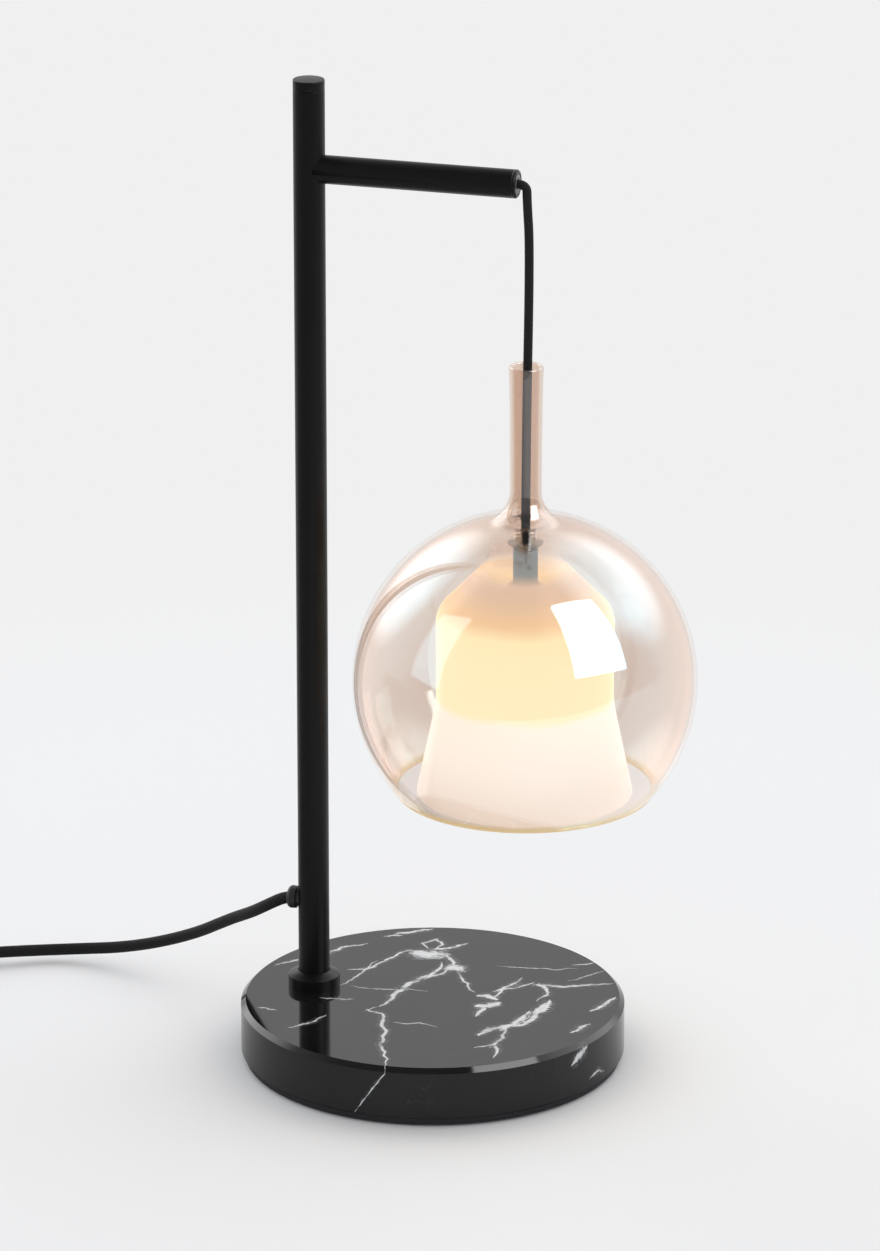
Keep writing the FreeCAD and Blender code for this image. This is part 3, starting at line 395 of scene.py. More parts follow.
def vein_fields(places, outward):
    """Signed distance across the nearest vein, its half width there, and 1 near any vein."""
    best = np.full(len(places), np.inf)
    side = np.full(len(places), no_vein_side)
    width = np.full(len(places), no_vein_width)
    near = np.zeros(len(places))
    chance = np.random.default_rng(vein_seed)
    for half_width, *route in veins:
        route = broken_route(route, chance)
        runs = np.linalg.norm(np.diff(route, axis=0), axis=1)
        reached = np.concatenate([[0], np.cumsum(runs)]) / runs.sum()
        lowest = route.min(axis=0) - vein_reach
        highest = route.max(axis=0) + vein_reach
        nearby = np.flatnonzero(((places > lowest) & (places < highest)).all(axis=1))
        spots = places[nearby]
        for index, (start, end) in enumerate(zip(route, route[1:])):
            run = end - start
            share = ((spots - start) @ run) / (run @ run)
            inside = np.clip(share, 0, 1)
            distance = np.linalg.norm(spots - (start + inside[:, None] * run), axis=1)
            along = reached[index] + inside * (reached[index + 1] - reached[index])
            taper = np.clip(vein_end_slope * np.minimum(along, 1 - along), vein_end_share, 1)
            half = half_width * taper ** vein_end_curve
            past_end = ((index == 0) & (share < 0)) | ((index == len(runs) - 1) & (share > 1))
            chosen = (distance - half < best[nearby]) & (distance < vein_reach)
            picked = nearby[chosen]
            sign = np.sign(np.einsum("ij,ij->i", np.cross(run, spots - start), outward[nearby]))
            best[picked] = (distance - half)[chosen]
            side[picked] = (np.where(sign < 0, -1, 1) * distance)[chosen]
            width[picked] = half[chosen]
            closeness = (width[nearby] + vein_fringe - distance) / vein_fringe_fade
            near[picked] = np.where(past_end, 0, np.clip(closeness, 0, 1))[chosen]
    return side, width, near


def marble_finish():
    """Feathered white veins with a haze beside them, faint hairlines and specks, on black."""
    finish, wire = new_finish("polished_black_marble")
    side = wire.stored("vein_side")
    width = wire.stored("vein_width")
    near = wire.stored("vein_near")
    streaked = wire.node("ShaderNodeMapping", {}, {
        "Vector": wire.place(), "Rotation": (0, 0, radians(-38)), "Scale": (1.0, 5.0, 1.0)})
    feather = wire.noise(150.0, 5.0, 0.7, 0.4, streaked)
    ragged = (wire.noise(260.0, 5.0, 0.65) - 0.5) * 2.0 + (wire.noise(60.0, 3.0) - 0.5) * 2.0
    broken = wire.noise(110.0, 4.0, 0.65).eased(0.30, 0.55)
    # Across is 1 at a vein's edge. Noise makes the edge ragged and splits the white in feathers.
    across = abs(side + ragged * (width + 0.4) * 0.5) / width
    vein = (1.25 - across - abs(feather - 0.5) * 3.6).eased(0.0, 0.75)
    vein = vein * near * (broken * 0.7 + 0.3)
    wisp = (1 - abs(feather - 0.5) * 26).eased(0.0, 1.0) * (1.6 - across * 0.4).eased(0.0, 1.0)
    haze = wisp * near * 0.22
    hair = abs(wire.noise(9.0, 3.0, 0.7, 0.3, streaked) - 0.5)
    hairline = (1 - hair * 220).eased(0.0, 1.0) * broken * wire.noise(14.0, 2.0).eased(0.5, 0.65)
    specks = wire.noise(520.0, 2.0).eased(0.76, 0.84) * wire.noise(30.0, 2.0).eased(0.52, 0.7)
    white = vein.most(hairline * 0.035).most(specks * 0.25) + haze
    ground = wire.noise(36.0, 7.0, 0.62, 0.4).mixed(rgba(0.002, 0.002, 0.0024),
                                                    rgba(0.010, 0.010, 0.011))
    colour = white.least(1.0).mixed(ground, rgba(0.64, 0.66, 0.69))
    return close_finish(finish, wire.solid({
        "Base Color": colour, "IOR": 1.48,
        "Roughness": wire.noise(90.0, 3.0) * 0.05 + 0.05 + vein * 0.12}))


def placed(name, data):
    """A new object in the scene, at its origin."""
    made = bpy.data.objects.new(name, data)
    bpy.context.scene.collection.objects.link(made)
    return made


def add_piece(name, mesh, finish, body, slot, *replaced):
    """A finished object from a mesh, riding on its body."""
    mesh.materials.clear()
    mesh.materials.append(finish)
    piece = placed(name, mesh)
    if body:
        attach(piece, body)
    if replaced:
        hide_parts(*replaced)
    return piece


def soften(mesh, angle=35.0, reface=False):
    """Welds loose points and shades round faces smooth, up to edges of that angle. Refaced, a
    mesh made here also loses its empty faces and has the rest turned outwards."""
    shape = bmesh.new()
    shape.from_mesh(mesh)
    bmesh.ops.remove_doubles(shape, verts=shape.verts, dist=1e-6)
    if reface:
        bmesh.ops.dissolve_degenerate(shape, edges=shape.edges, dist=1e-7)
        bmesh.ops.recalc_face_normals(shape, faces=shape.faces)
    shape.to_mesh(mesh)
    shape.free()
    mesh.shade_smooth()
    mesh.set_sharp_from_angle(angle=radians(angle))
    return mesh


add_piece("marble_disc", soften(marble_mesh(), angle=25.0), marble_finish(), "stand",
          "black_marble", "marble_base")

# Pole foot: a hexagon bolt and washer come up through the stone into a threaded plug pressed in
# the pole, and a turned collar with a sloped top hides the joint. All but the collar are hidden.
pole_x = -0.0646
collar_bore = 0.00815
collar_radius = 0.0135
collar_bottom = 0.032
collar_rounding = 0.0008
collar_slope_foot = 0.0374
collar_crown = ((0.0089, 0.0401), (0.0085, 0.0403), (collar_bore, 0.0402))
pole_sides = 128


def turned(name, outline, centre, sides, angle=35.0):
    """Closed ring or bar turned about an upright axis, from its outline of (radius, height)."""
    turns = [2 * pi * side / sides for side in range(sides)]
    places = [(centre[0] + radius * cos(turn), centre[1] + radius * sin(turn), height)
              for radius, height in outline for turn in turns]
    count = len(outline)
    faces = []
    for row in range(count):
        low = row * sides
        high = (row + 1) % count * sides
        for side in range(sides):
            after = (side + 1) % sides
            faces.append((low + side, low + after, high + after, high + side))
    mesh = bpy.data.meshes.new(name)
    mesh.from_pydata(places, [], faces)
    return soften(mesh, angle, reface=True)


def arc(centre, radius, start, stop, steps):
    """Points of an arc in the (radius, height) plane, angles in degrees."""
    return [(centre[0] + radius * cos(radians(start + (stop - start) * step / steps)),
             centre[1] + radius * sin(radians(start + (stop - start) * step / steps)))
            for step in range(steps + 1)]


def coated_finish():
    """Satin black powder coat: faint orange peel and slightly uneven gloss."""
    finish, wire = new_finish("satin_black_coat")
    peel = wire.noise(1500.0, 3.0, 0.55)
    handling = wire.noise(40.0, 4.0, 0.6)
    return close_finish(finish, wire.solid({
        "Base Color": handling.mixed(rgba(0.0035, 0.0035, 0.0035), rgba(0.006, 0.006, 0.0065)),
        "Roughness": handling * 0.08 + 0.28, "Specular IOR Level": 0.2,
        "Normal": peel.bump(0.1, 0.00006)}))


def add_pole_part(name, outline, node):
    """A coated part of the stand, turned about the pole's own line."""
    add_piece(name, turned(name, outline, (pole_x, 0), pole_sides), satin_black, "stand",
              "black_steel", node)


satin_black = coated_finish()
dress(zinc_steel, "pole_bolt", "pole_bolt_washer", "pole_foot_plug")
collar_outline = [(collar_bore, collar_bottom), (collar_radius, collar_bottom)]
collar_outline += arc((collar_radius - collar_rounding, collar_slope_foot), collar_rounding,
                      0, 66, 5)
collar_outline += collar_crown
add_pole_part("pole_foot_collar", collar_outline, "pole_collar")

# Pole: steel tube with a turned cap pushed in its top. The seam between them is a fine groove,
# and both are coated in the same satin black as the arm.
pole_radius = 0.0081
pole_bore = 0.0066
cap_bottom = 0.515
pole_top = 0.52
seam_gap = 0.0001
seam_rounding = 0.0003
cap_rounding = 0.0005
cap_plug_radius = 0.0064
cap_plug_depth = 0.008


def smoothed(node, finish, slot, angle=35.0):
    """The node's own shape with welded points and smooth round faces."""
    mesh = soften(nodes[node].data.copy(), angle)
    return add_piece(node + "_finished", mesh, finish, nodes[node]["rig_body"], slot, node)


tube_top = cap_bottom - seam_gap
tube_outline = [(pole_bore, collar_bottom), (pole_radius, collar_bottom)]
tube_outline += arc((pole_radius - seam_rounding, tube_top - seam_rounding), seam_rounding,
                    0, 90, 4)
tube_outline += [(pole_bore, tube_top)]
add_pole_part("pole_tube_coated", tube_outline, "pole_tube")
cap_outline = [(0, cap_bottom - cap_plug_depth), (cap_plug_radius, cap_bottom - cap_plug_depth),
               (cap_plug_radius, cap_bottom), (pole_radius - seam_rounding, cap_bottom)]
cap_outline += arc((pole_radius - seam_rounding, cap_bottom + seam_rounding), seam_rounding,
                   -60, 0, 3)
cap_outline += arc((pole_radius - cap_rounding, pole_top - cap_rounding), cap_rounding, 0, 90, 5)
cap_outline += [(0, pole_top)]
add_pole_part("pole_cap_coated", cap_outline, "pole_cap")

# Grommet: a soft black rubber bead snapped into the hole where the mains cord leaves the pole,
# with a groove behind its lip and a flared mouth that lets the cord bend.
grommet_height = 0.0795
grommet_bore = 0.0032
grommet_groove = ((0.0045, 0.0), (0.0045, 0.0022), (0.0058, 0.0024))
grommet_bead_centre = (0.0036, 0.0048)
grommet_bead_radius = 0.0024
grommet_mouth_centre = (0.0042, 0.0062)
grommet_mouth_radius = 0.0010
grommet_mouth_end = 0.0030


def rubber_finish():
    finish, wire = new_finish("black_rubber")
    dust = wire.noise(120.0, 4.0, 0.6)
    return close_finish(finish, wire.solid({
        "Base Color": dust.mixed(rgba(0.010, 0.010, 0.010), rgba(0.022, 0.022, 0.023)),
        "Roughness": dust * 0.2 + 0.38,
        "Normal": wire.noise(1100.0, 3.0).bump(0.15, 0.0001)}))


black_rubber = rubber_finish()
grommet_outline = [(grommet_bore, 0.0), *grommet_groove]
grommet_outline += arc(grommet_bead_centre, grommet_bead_radius, 0, 115, 14)
grommet_outline += arc(grommet_mouth_centre, grommet_mouth_radius, 120, 200, 6)
grommet_outline += [(grommet_bore, grommet_mouth_end)]
grommet_mesh = turned("pole_grommet_bead", grommet_outline, (0, 0), sides=96, angle=60.0)
grommet_mesh.transform(Matrix.Translation((pole_x - pole_bore, 0, grommet_height))
                       @ Matrix.Rotation(-pi / 2, 4, "Y"))
add_piece("pole_grommet_bead", grommet_mesh, black_rubber, "stand", "black_rubber",
          "pole_grommet")

# Arm: a short coated tube let into the pole on a turned spigot, closed by a cap that carries a
# grey nylon bush. A clamped anchor inside takes the weight of the globe off the lamp lead.


def moulded_finish(name, dark, light, roughness):
    """Spark-eroded moulded plastic: an even fine texture with slightly polished high spots."""
    finish, wire = new_finish(name)
    texture = wire.noise(2600.0, 2.0, 0.5)
    patch = wire.noise(70.0, 3.0)
    return close_finish(finish, wire.solid({
        "Base Color": patch.mixed(rgba(*dark), rgba(*light)),
        "Roughness": texture * 0.14 + roughness,
        "Normal": texture.bump(0.25, 0.00008)}))


black_plastic = moulded_finish("textured_black_plastic", dark=(0.010, 0.010, 0.011),
                               light=(0.017, 0.017, 0.018), roughness=0.38)
grey_nylon = moulded_finish("grey_nylon", dark=(0.20, 0.20, 0.21), light=(0.28, 0.28, 0.29),
                            roughness=0.35)
smoothed("arm_tube", satin_black, "black_steel")
smoothed("arm_end_cap", satin_black, "black_steel")
smoothed("arm_bush", grey_nylon, "grey_nylon")
dress(zinc_steel, "arm_spigot")
dress(black_plastic, "cord_anchor")

# Leads inside the pole and arm: the mains lead comes in at the grommet and meets the thinner
# lamp lead in a crimped plastic splice. Nothing of them shows.


def braid_finish(name, pitch, strands, dark, light):
    """Round textile braid over a cord, from the places along and round it."""
    finish, wire = new_finish(name)
    ring = wire.stored("ring", "Vector")
    turn = wire.math("ARCTAN2", ring.along("Y"), ring.along("X")) * strands
    advance = wire.stored("along") * (2 * pi / pitch)
    over = (advance + turn).sine()
    under = (advance - turn).sine()
    weave = over.most(under) * 0.5 + 0.5
    fibre = wire.noise(2400.0, 4.0, 0.7)
    return close_finish(finish, wire.solid({
        "Base Color": (weave * 0.7 + fibre * 0.3).mixed(rgba(*dark), rgba(*light)),
        "Roughness": fibre * 0.2 + 0.62, "Specular IOR Level": 0.25,
        "Normal": (weave + fibre * 0.25).bump(0.5, 0.0002)}))


mains_braid = braid_finish("mains_cord_braid", pitch=0.0036, strands=8,
                           dark=(0.003, 0.003, 0.0035), light=(0.012, 0.012, 0.013))
dress(mains_braid, "mains_lead_in_pole", "lamp_lead_in_pole_and_arm")
dress(black_plastic, "cord_splice")

# Mains cord: one length of braided round cord from the grommet down to the table, through the
# switch, into a tied coil of the spare length and out to the plug. It lies loose on the table.
mains_radius = 0.0031
mains_ring_step = 0.0022
mains_sides = 28
floor_axis = 0.0042
switch_axis = 0.008
switch_length = 0.06
lead_route = [(-0.0715, 0, 0.0795), (-0.079, 0, 0.0795), (-0.09, 0.004, 0.0725),
              (-0.1035, 0.0155, 0.062), (-0.12, 0.032, 0.0505), (-0.15, 0.054, 0.0292),
              (-0.188, 0.0675, 0.013), (-0.226, 0.072, 0.006), (-0.262, 0.0515, switch_axis),
              (-0.286, 0.0365, switch_axis)]
switch_entry = Vector(lead_route[-1])
switch_heading = (switch_entry - Vector(lead_route[-2])).normalized()
switch_end = switch_entry + switch_heading * switch_length
link_run = 0.034
link_route = [switch_end + switch_heading * runs * link_run for runs in (0, 1, 2, 2.5)]
link_route[2].z = floor_axis
link_route[3].z = floor_axis
coil_centre = Vector((-0.39126, -0.08243, 0))
coil_start_bearing = radians(-239.39)
coil_inner_radius = 0.023
coil_pitch = 0.0069
coil_turns_per_layer = 3.2
coil_reverse_half_width = 0.25
coil_points_per_turn = 32
tail_ease = 0.0186
tail_run = 0.0374
plug_axis = 0.007


def coil_place(turns):
    """The coil winds in along its lower layer, climbs where it reverses, and winds out above."""
    past_middle = turns - coil_turns_per_layer
    away = abs(past_middle)
    if away < coil_reverse_half_width:
        away = away ** 2 / (2 * coil_reverse_half_width) + coil_reverse_half_width / 2
    share = (past_middle + coil_reverse_half_width) / (2 * coil_reverse_half_width)
    share = min(max(share, 0), 1)
    radius = coil_inner_radius + coil_pitch * away
    bearing = coil_start_bearing + 2 * pi * turns
    height = floor_axis + coil_pitch * share * share * (3 - 2 * share)
    return coil_centre + Vector((radius * cos(bearing), radius * sin(bearing), height))


coil_steps = round(2 * coil_turns_per_layer * coil_points_per_turn)
coil_route = [coil_place(2 * coil_turns_per_layer * step / coil_steps)
              for step in range(coil_steps + 1)]
coil_leaving = (coil_route[-1] - coil_route[-2]).normalized()
coil_end = coil_route[-1] + coil_leaving * 2 * mains_radius
tail_route = [coil_end, coil_end + coil_leaving * tail_ease]
tail_route.append(tail_route[-1] + coil_leaving * tail_run)
tail_route[-1].z = plug_axis
plug_entry = tail_route[-1] + coil_leaving * tail_run
plug_entry.z = plug_axis
tail_route.append(plug_entry)


def spline_object(name, route):
    """An open spline whose control points are the route's points."""
    data = bpy.data.curves.new(name, "CURVE")
    data.dimensions = "3D"
    data.resolution_u = 8
    spline = data.splines.new("NURBS")
    spline.points.add(len(route) - 1)
    for spot, place in zip(spline.points, route):
        spot.co = (*place, 1)
    spline.order_u = 3
    spline.use_endpoint_u = True
    return placed(name, data)


def tree_with(name, sockets):
    """An empty geometry tree with named inputs, and the wires of those inputs."""
    tree = bpy.data.node_groups.new(name, "GeometryNodeTree")
    for label, kind in sockets:
        tree.interface.new_socket(label, in_out="INPUT", socket_type=kind)
    tree.interface.new_socket("Shape", in_out="OUTPUT", socket_type="NodeSocketGeometry")
    inputs = tree.nodes.new("NodeGroupInput")
    return tree, {label: Wire(tree, inputs.outputs[label]) for label, kind in sockets}


def end_tree(tree, shape, finish):
    """Closes a tree with its instances made real and its finish set."""
    real = shape.node("GeometryNodeRealizeInstances", {}, {"Geometry": shape})
    coated = real.node("GeometryNodeSetMaterial", {}, {"Geometry": real, "Material": finish})
    output = tree.nodes.new("NodeGroupOutput")
    tree.links.new(coated.socket, output.inputs["Shape"])


def grown_mesh(piece, tree, values):
    """What the tree makes of the piece, as a plain mesh."""
    modifier = piece.modifiers.new("growth", "NODES")
    modifier.node_group = tree
    for item in tree.interface.items_tree:
        if item.in_out == "INPUT" and item.name in values:
            modifier[item.identifier] = values[item.name]
    bpy.context.view_layer.update()
    seen = piece.evaluated_get(bpy.context.evaluated_depsgraph_get())
    mesh = bpy.data.meshes.new_from_object(seen)
    piece.modifiers.remove(modifier)
    return mesh


def cord_tree():
    """A round tube along a spline, whose points know their place along and round the cord."""
    tree, given = tree_with("cord_tube", (
        ("Line", "NodeSocketGeometry"), ("Radius", "NodeSocketFloat"),
        ("Step", "NodeSocketFloat"), ("Sides", "NodeSocketInt"), ("Finish", "NodeSocketMaterial")))
    wire = given["Line"]
    line = wire.node("GeometryNodeResampleCurve", {"mode": "LENGTH"},
                     {"Curve": given["Line"], "Length": given["Step"]})
    length = wire.node("GeometryNodeSplineParameter", output="Length")
    line = wire.node("GeometryNodeStoreNamedAttribute", {"data_type": "FLOAT", "domain": "POINT"},
                     {"Geometry": line, "Name": "along", "Value": length})
    ring = wire.node("GeometryNodeCurvePrimitiveCircle", {"mode": "RADIUS"},
                     {"Resolution": given["Sides"], "Radius": given["Radius"]})
    place = wire.node("GeometryNodeInputPosition")
    ring = wire.node("GeometryNodeStoreNamedAttribute",
                     {"data_type": "FLOAT_VECTOR", "domain": "POINT"},
                     {"Geometry": ring, "Name": "ring", "Value": place})
    tube = wire.node("GeometryNodeCurveToMesh", {},
                     {"Curve": line, "Profile Curve": ring, "Fill Caps": True})
    tube = wire.node("GeometryNodeSetShadeSmooth", {}, {"Geometry": tube, "Shade Smooth": True})
    end_tree(tree, tube, given["Finish"])
    return tree


def cord_mesh(name, route, radius, step, sides, finish):
    """A cord's tube, and the points and length of the smooth line that it follows."""
    line = spline_object(name + "_line", route)
    bpy.context.view_layer.update()
    seen = line.evaluated_get(bpy.context.evaluated_depsgraph_get())
    bare = bpy.data.meshes.new_from_object(seen)
    path = [tuple(spot.co) for spot in bare.vertices]
    mesh = grown_mesh(line, cord_tube_tree, {"Radius": radius, "Step": step, "Sides": sides,
                                             "Finish": finish})
    bpy.data.objects.remove(line)
    bpy.data.meshes.remove(bare)
    return mesh, path, sum((Vector(b) - Vector(a)).length for a, b in zip(path, path[1:]))


cord_tube_tree = cord_tree()
mains_route = lead_route + link_route + coil_route + tail_route
mains_mesh, mains_path, mains_length = cord_mesh("mains_cord", mains_route, mains_radius,
                                                 mains_ring_step, mains_sides, mains_braid)
mains_cord = add_piece("mains_cord", mains_mesh, mains_braid, "stand", "black_textile",
                       "mains_cord_lead", "switch_cord_ends", "mains_cord_link",
                       "mains_cord_coil", "mains_cord_tail")

# Cord sleeves: tapered rubber strain reliefs at both ends of the switch and behind the plug,
# each with rings moulded round it so that it bends in an even curve.
relief_length = 0.02
plug_relief_length = 0.022
relief_root_radius = 0.0055
relief_tip_radius = 0.0039
relief_edge_angle = 50
relief_ribs = 5
relief_sides = 48
relief_rows = 12
sleeve_share = 0.88
rib_share = 0.84
rib_thickness = 0.17
rib_width = 1.7
rib_sides = 12
first_rib_place = 0.6
last_rib_gap = 0.4


def relief_tree():
    """A tapered sleeve along Z with evenly spaced rings that shrink with it."""
    tree, given = tree_with("ribbed_sleeve", (
        ("Line", "NodeSocketGeometry"), ("Length", "NodeSocketFloat"),
        ("Root Radius", "NodeSocketFloat"), ("Tip Radius", "NodeSocketFloat"),
        ("Ribs", "NodeSocketInt"), ("Finish", "NodeSocketMaterial")))
    wire = given["Line"]
    length = given["Length"]
    root = given["Root Radius"]
    tip = given["Tip Radius"]
    sleeve = wire.node("GeometryNodeMeshCone", {"fill_type": "NGON"}, {
        "Vertices": relief_sides, "Side Segments": relief_rows, "Depth": length,
        "Radius Top": tip * sleeve_share, "Radius Bottom": root * sleeve_share}, "Mesh")
    pitches = given["Ribs"] + last_rib_gap
    pitch = length / pitches
    first = wire.node("ShaderNodeCombineXYZ", {}, {"Z": pitch * first_rib_place})
    spots = wire.node("GeometryNodeMeshLine", {"mode": "OFFSET"}, {
        "Count": given["Ribs"], "Start Location": first,
        "Offset": wire.node("ShaderNodeCombineXYZ", {}, {"Z": pitch})})
    ring = wire.node("GeometryNodeCurvePrimitiveCircle", {"mode": "RADIUS"},
                     {"Resolution": relief_sides, "Radius": 1.0})
    bead = wire.node("GeometryNodeCurvePrimitiveCircle", {"mode": "RADIUS"},
                     {"Resolution": rib_sides, "Radius": rib_thickness})
    bead = wire.node("GeometryNodeTransform", {},
                     {"Geometry": bead, "Scale": (1.0, rib_width, 1.0)})
    ring = wire.node("GeometryNodeCurveToMesh", {}, {"Curve": ring, "Profile Curve": bead})
    share = (wire.node("GeometryNodeInputIndex") + first_rib_place) / pitches
    radius = (root + (tip - root) * share) * rib_share
    size = wire.node("ShaderNodeCombineXYZ", {},
                     {"X": radius, "Y": radius, "Z": root * rib_share})
    rings = wire.node("GeometryNodeInstanceOnPoints", {},
                      {"Points": spots, "Instance": ring, "Scale": size})
    joined = tree.nodes.new("GeometryNodeJoinGeometry")
    tree.links.new(rings.socket, joined.inputs[0])
    tree.links.new(sleeve.socket, joined.inputs[0])
    joined = Wire(tree, joined.outputs[0])
    smooth = wire.node("GeometryNodeSetShadeSmooth", {}, {"Geometry": joined})
    end_tree(tree, smooth, given["Finish"])
    return tree


ribbed_sleeve_tree = relief_tree()


def relief_mesh(length):
    blank = placed("sleeve_blank", bpy.data.meshes.new("sleeve_blank"))
    mesh = grown_mesh(blank, ribbed_sleeve_tree, {
        "Length": length, "Root Radius": relief_root_radius, "Tip Radius": relief_tip_radius,
        "Ribs": relief_ribs, "Finish": black_rubber})
    bpy.data.objects.remove(blank)
    return mesh


def add_reliefs(name, length, places, node):
    """Sleeves joined in one mesh; each starts at a place and narrows along its heading."""
    shape = bmesh.new()
    for start, heading in places:
        mesh = relief_mesh(length)
        turn = heading.to_track_quat("Z", "Y").to_matrix().to_4x4()
        mesh.transform(Matrix.Translation(start) @ turn)
        shape.from_mesh(mesh)
        bpy.data.meshes.remove(mesh)
    joined = bpy.data.meshes.new(name)
    shape.to_mesh(joined)
    shape.free()
    joined.shade_smooth()
    joined.set_sharp_from_angle(angle=radians(relief_edge_angle))
    return add_piece(name, joined, black_rubber, "stand", "black_rubber", node)


switch_reliefs = add_reliefs("switch_cord_sleeves", relief_length,
                             ((switch_entry, -switch_heading), (switch_end, switch_heading)),
                             "switch_strain_reliefs")
plug_relief = add_reliefs("plug_cord_sleeve", plug_relief_length, ((plug_entry, -coil_leaving),),
                          "plug_strain_relief")

# Cord switch, tie and plug: a two-part moulded housing with a rocker on a steel pin, a woven tie
# round the coil, and a flat two-pin plug with brass pins. The rocker tilts on its pin.


def woven_tie_finish():
    finish, wire = new_finish("woven_tie")
    loops = wire.noise(1500.0, 3.0, 0.7)
    return close_finish(finish, wire.solid({
        "Base Color": loops.mixed(rgba(0.007, 0.007, 0.008), rgba(0.026, 0.026, 0.028)),
        "Roughness": 0.9, "Sheen Weight": 0.2, "Normal": loops.bump(0.8, 0.0005)}))


switch_pieces = [smoothed(node, black_plastic, "black_plastic", angle=28.0) for node in
                 ("switch_lower_half", "switch_upper_half", "switch_rocker")]
cord_tie = smoothed("cord_tie", woven_tie_finish(), "black_textile")
plug_body = smoothed("plug_body", black_plastic, "black_plastic", angle=28.0)
dress(turned_brass, "plug_pins")
dress(zinc_steel, "switch_screws", "switch_rocker_pin")

# Hanging cord: a thin braided cord out of the arm's bush, straight down through the globe's neck
# into the grip. It carries the globe and swings at the bush; a slight bow is left in it.
cord_radius = 0.0023
cord_ring_step = 0.0012
cord_sides = 24
globe_x = 0.0492
hang_route = [(0.0445, 0, 0.4738), (globe_x, 0, 0.4738), (globe_x, 0, 0.466),
              (0.0509, 0, 0.44), (globe_x, 0, 0.335), (globe_x, 0, 0.2688)]
lamp_braid = braid_finish("lamp_cord_braid", pitch=0.0026, strands=8,
                          dark=(0.004, 0.004, 0.0045), light=(0.016, 0.016, 0.018))
hang_mesh, hang_path, hang_length = cord_mesh("hanging_cord", hang_route, cord_radius,
                                              cord_ring_step, cord_sides, lamp_braid)
hanging_cord = add_piece("hanging_cord", hang_mesh, lamp_braid, None, "black_textile",
                         "pendant_cord_bend", "pendant_cord_drop")
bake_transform(hanging_cord)

# Globe: hand-blown champagne glass with a thin metal coat that half mirrors the room. A long
# narrow neck is drawn from its crown, and its foot is cut open and fire-polished.
globe_height = 0.2115
globe_radius = 0.0884
globe_wall = 0.002
globe_mouth_radius = 0.0664
neck_radius = 0.0081
neck_mouth_radius = 0.00875
neck_fillet = 0.016
neck_straight_height = 0.318
neck_top = 0.3794
neck_flare_shares = (0, 0.12, 0.25, 0.4, 0.55, 0.7, 0.85, 1)
neck_tint_heights = (0.285, 0.305)
rim_tint_heights = (0.1538, 0.1572)
globe_steps = 110
fillet_steps = 18
coat_gloss = 0.015
coat_mirror = 0.115
coat_mirror_cloud = 0.02
edge_mirror = 0.85


def globe_surface(radius, fillet, neck, mouth, rim_height):
    """One face of the glass, from the rim up to the neck's mouth."""
    across = neck + fillet
    rise = sqrt((radius + fillet) ** 2 - across ** 2)
    drop = rim_height - globe_height
    start = degrees(atan2(drop, sqrt(radius ** 2 - drop ** 2)))
    shoulder = degrees(atan2(rise, across))
    surface = arc((0, globe_height), radius, start, shoulder, globe_steps)
    surface += arc((across, globe_height + rise), fillet, shoulder + 180, 180, fillet_steps)[1:]
    for share in neck_flare_shares:
        surface.append((neck + (mouth - neck) * share ** 2,
                        neck_straight_height + (neck_top - neck_straight_height) * share))
    return surface


def coated_glass_finish():
    """Amber in transmission and cool in reflection, as a thin metal oxide coat makes it."""
    finish, wire = new_finish("champagne_coated_glass")
    height = wire.place().along("Z")
    neck = height.eased(*neck_tint_heights)
    rim = 1 - height.eased(*rim_tint_heights)
    # Seen straight on, the coat mirrors about an eighth of every colour. Red passes at a little
    # over 1, which gives back some of that, because the real coat hardly dims it.
    passed = neck.between(wire.clear(1.035, 0.948, 0.892), wire.clear(0.93, 0.825, 0.75))
    passed = rim.between(passed, wire.clear(0.97, 0.80, 0.55))
    cool = neck.between(wire.mirror(coat_gloss, 0.42, 0.80, 1.0),
                        wire.mirror(coat_gloss, 0.92, 0.95, 1.0))
    facing = wire.facing()
    mirrored = facing.eased(0.3, 0.75).between(cool, wire.mirror(coat_gloss, 0.95, 0.98, 1.0))
    coat = wire.noise(9.0, 2.0, 0.5) * coat_mirror_cloud + coat_mirror
    mirror_share = (facing ** 5.0 * edge_mirror + coat).least(1.0)
    return close_finish(finish, mirror_share.between(passed, mirrored))


rim_height = globe_height - sqrt(globe_radius ** 2 - globe_mouth_radius ** 2)
outer_glass = globe_surface(globe_radius, neck_fillet, neck_radius, neck_mouth_radius,
                            rim_height + globe_wall / 2)
inner_glass = globe_surface(globe_radius - globe_wall, neck_fillet + globe_wall,
                            neck_radius - globe_wall, neck_mouth_radius - globe_wall,
                            rim_height + globe_wall / 2)
neck_edge = (neck_mouth_radius - globe_wall / 2, neck_top - globe_wall / 2)
glass_outline = outer_glass[:-1] + arc(neck_edge, globe_wall / 2, 0, 180, 8)
glass_outline += inner_glass[::-1][1:]
rim_start = inner_glass[0]
rim_end = outer_glass[0]
rim_middle = ((rim_start[0] + rim_end[0]) / 2, rim_start[1])
rim_half = (rim_end[0] - rim_start[0]) / 2
glass_outline += arc(rim_middle, rim_half, 180, 360, 10)[1:-1]
globe_mesh = turned("blown_glass_globe", glass_outline, (globe_x, 0), sides=192, angle=60.0)
add_piece("blown_glass_globe", globe_mesh, coated_glass_finish(), "pendant_globe",
          "tinted_glass", "glass_globe")

# Seat between the two glasses: a clear acrylic disc with a centring hub in the globe's neck, a
# silicone ring under the glass, and silicone washers above and below the bell.


def acrylic_finish():
    finish, wire = new_finish("clear_acrylic")
    gleam = wire.facing() ** 5.0 * 0.35
    return close_finish(finish, gleam.between(wire.clear(0.99, 0.985, 0.98),
                                              wire.mirror(0.08, 1.0, 1.0, 1.0)))


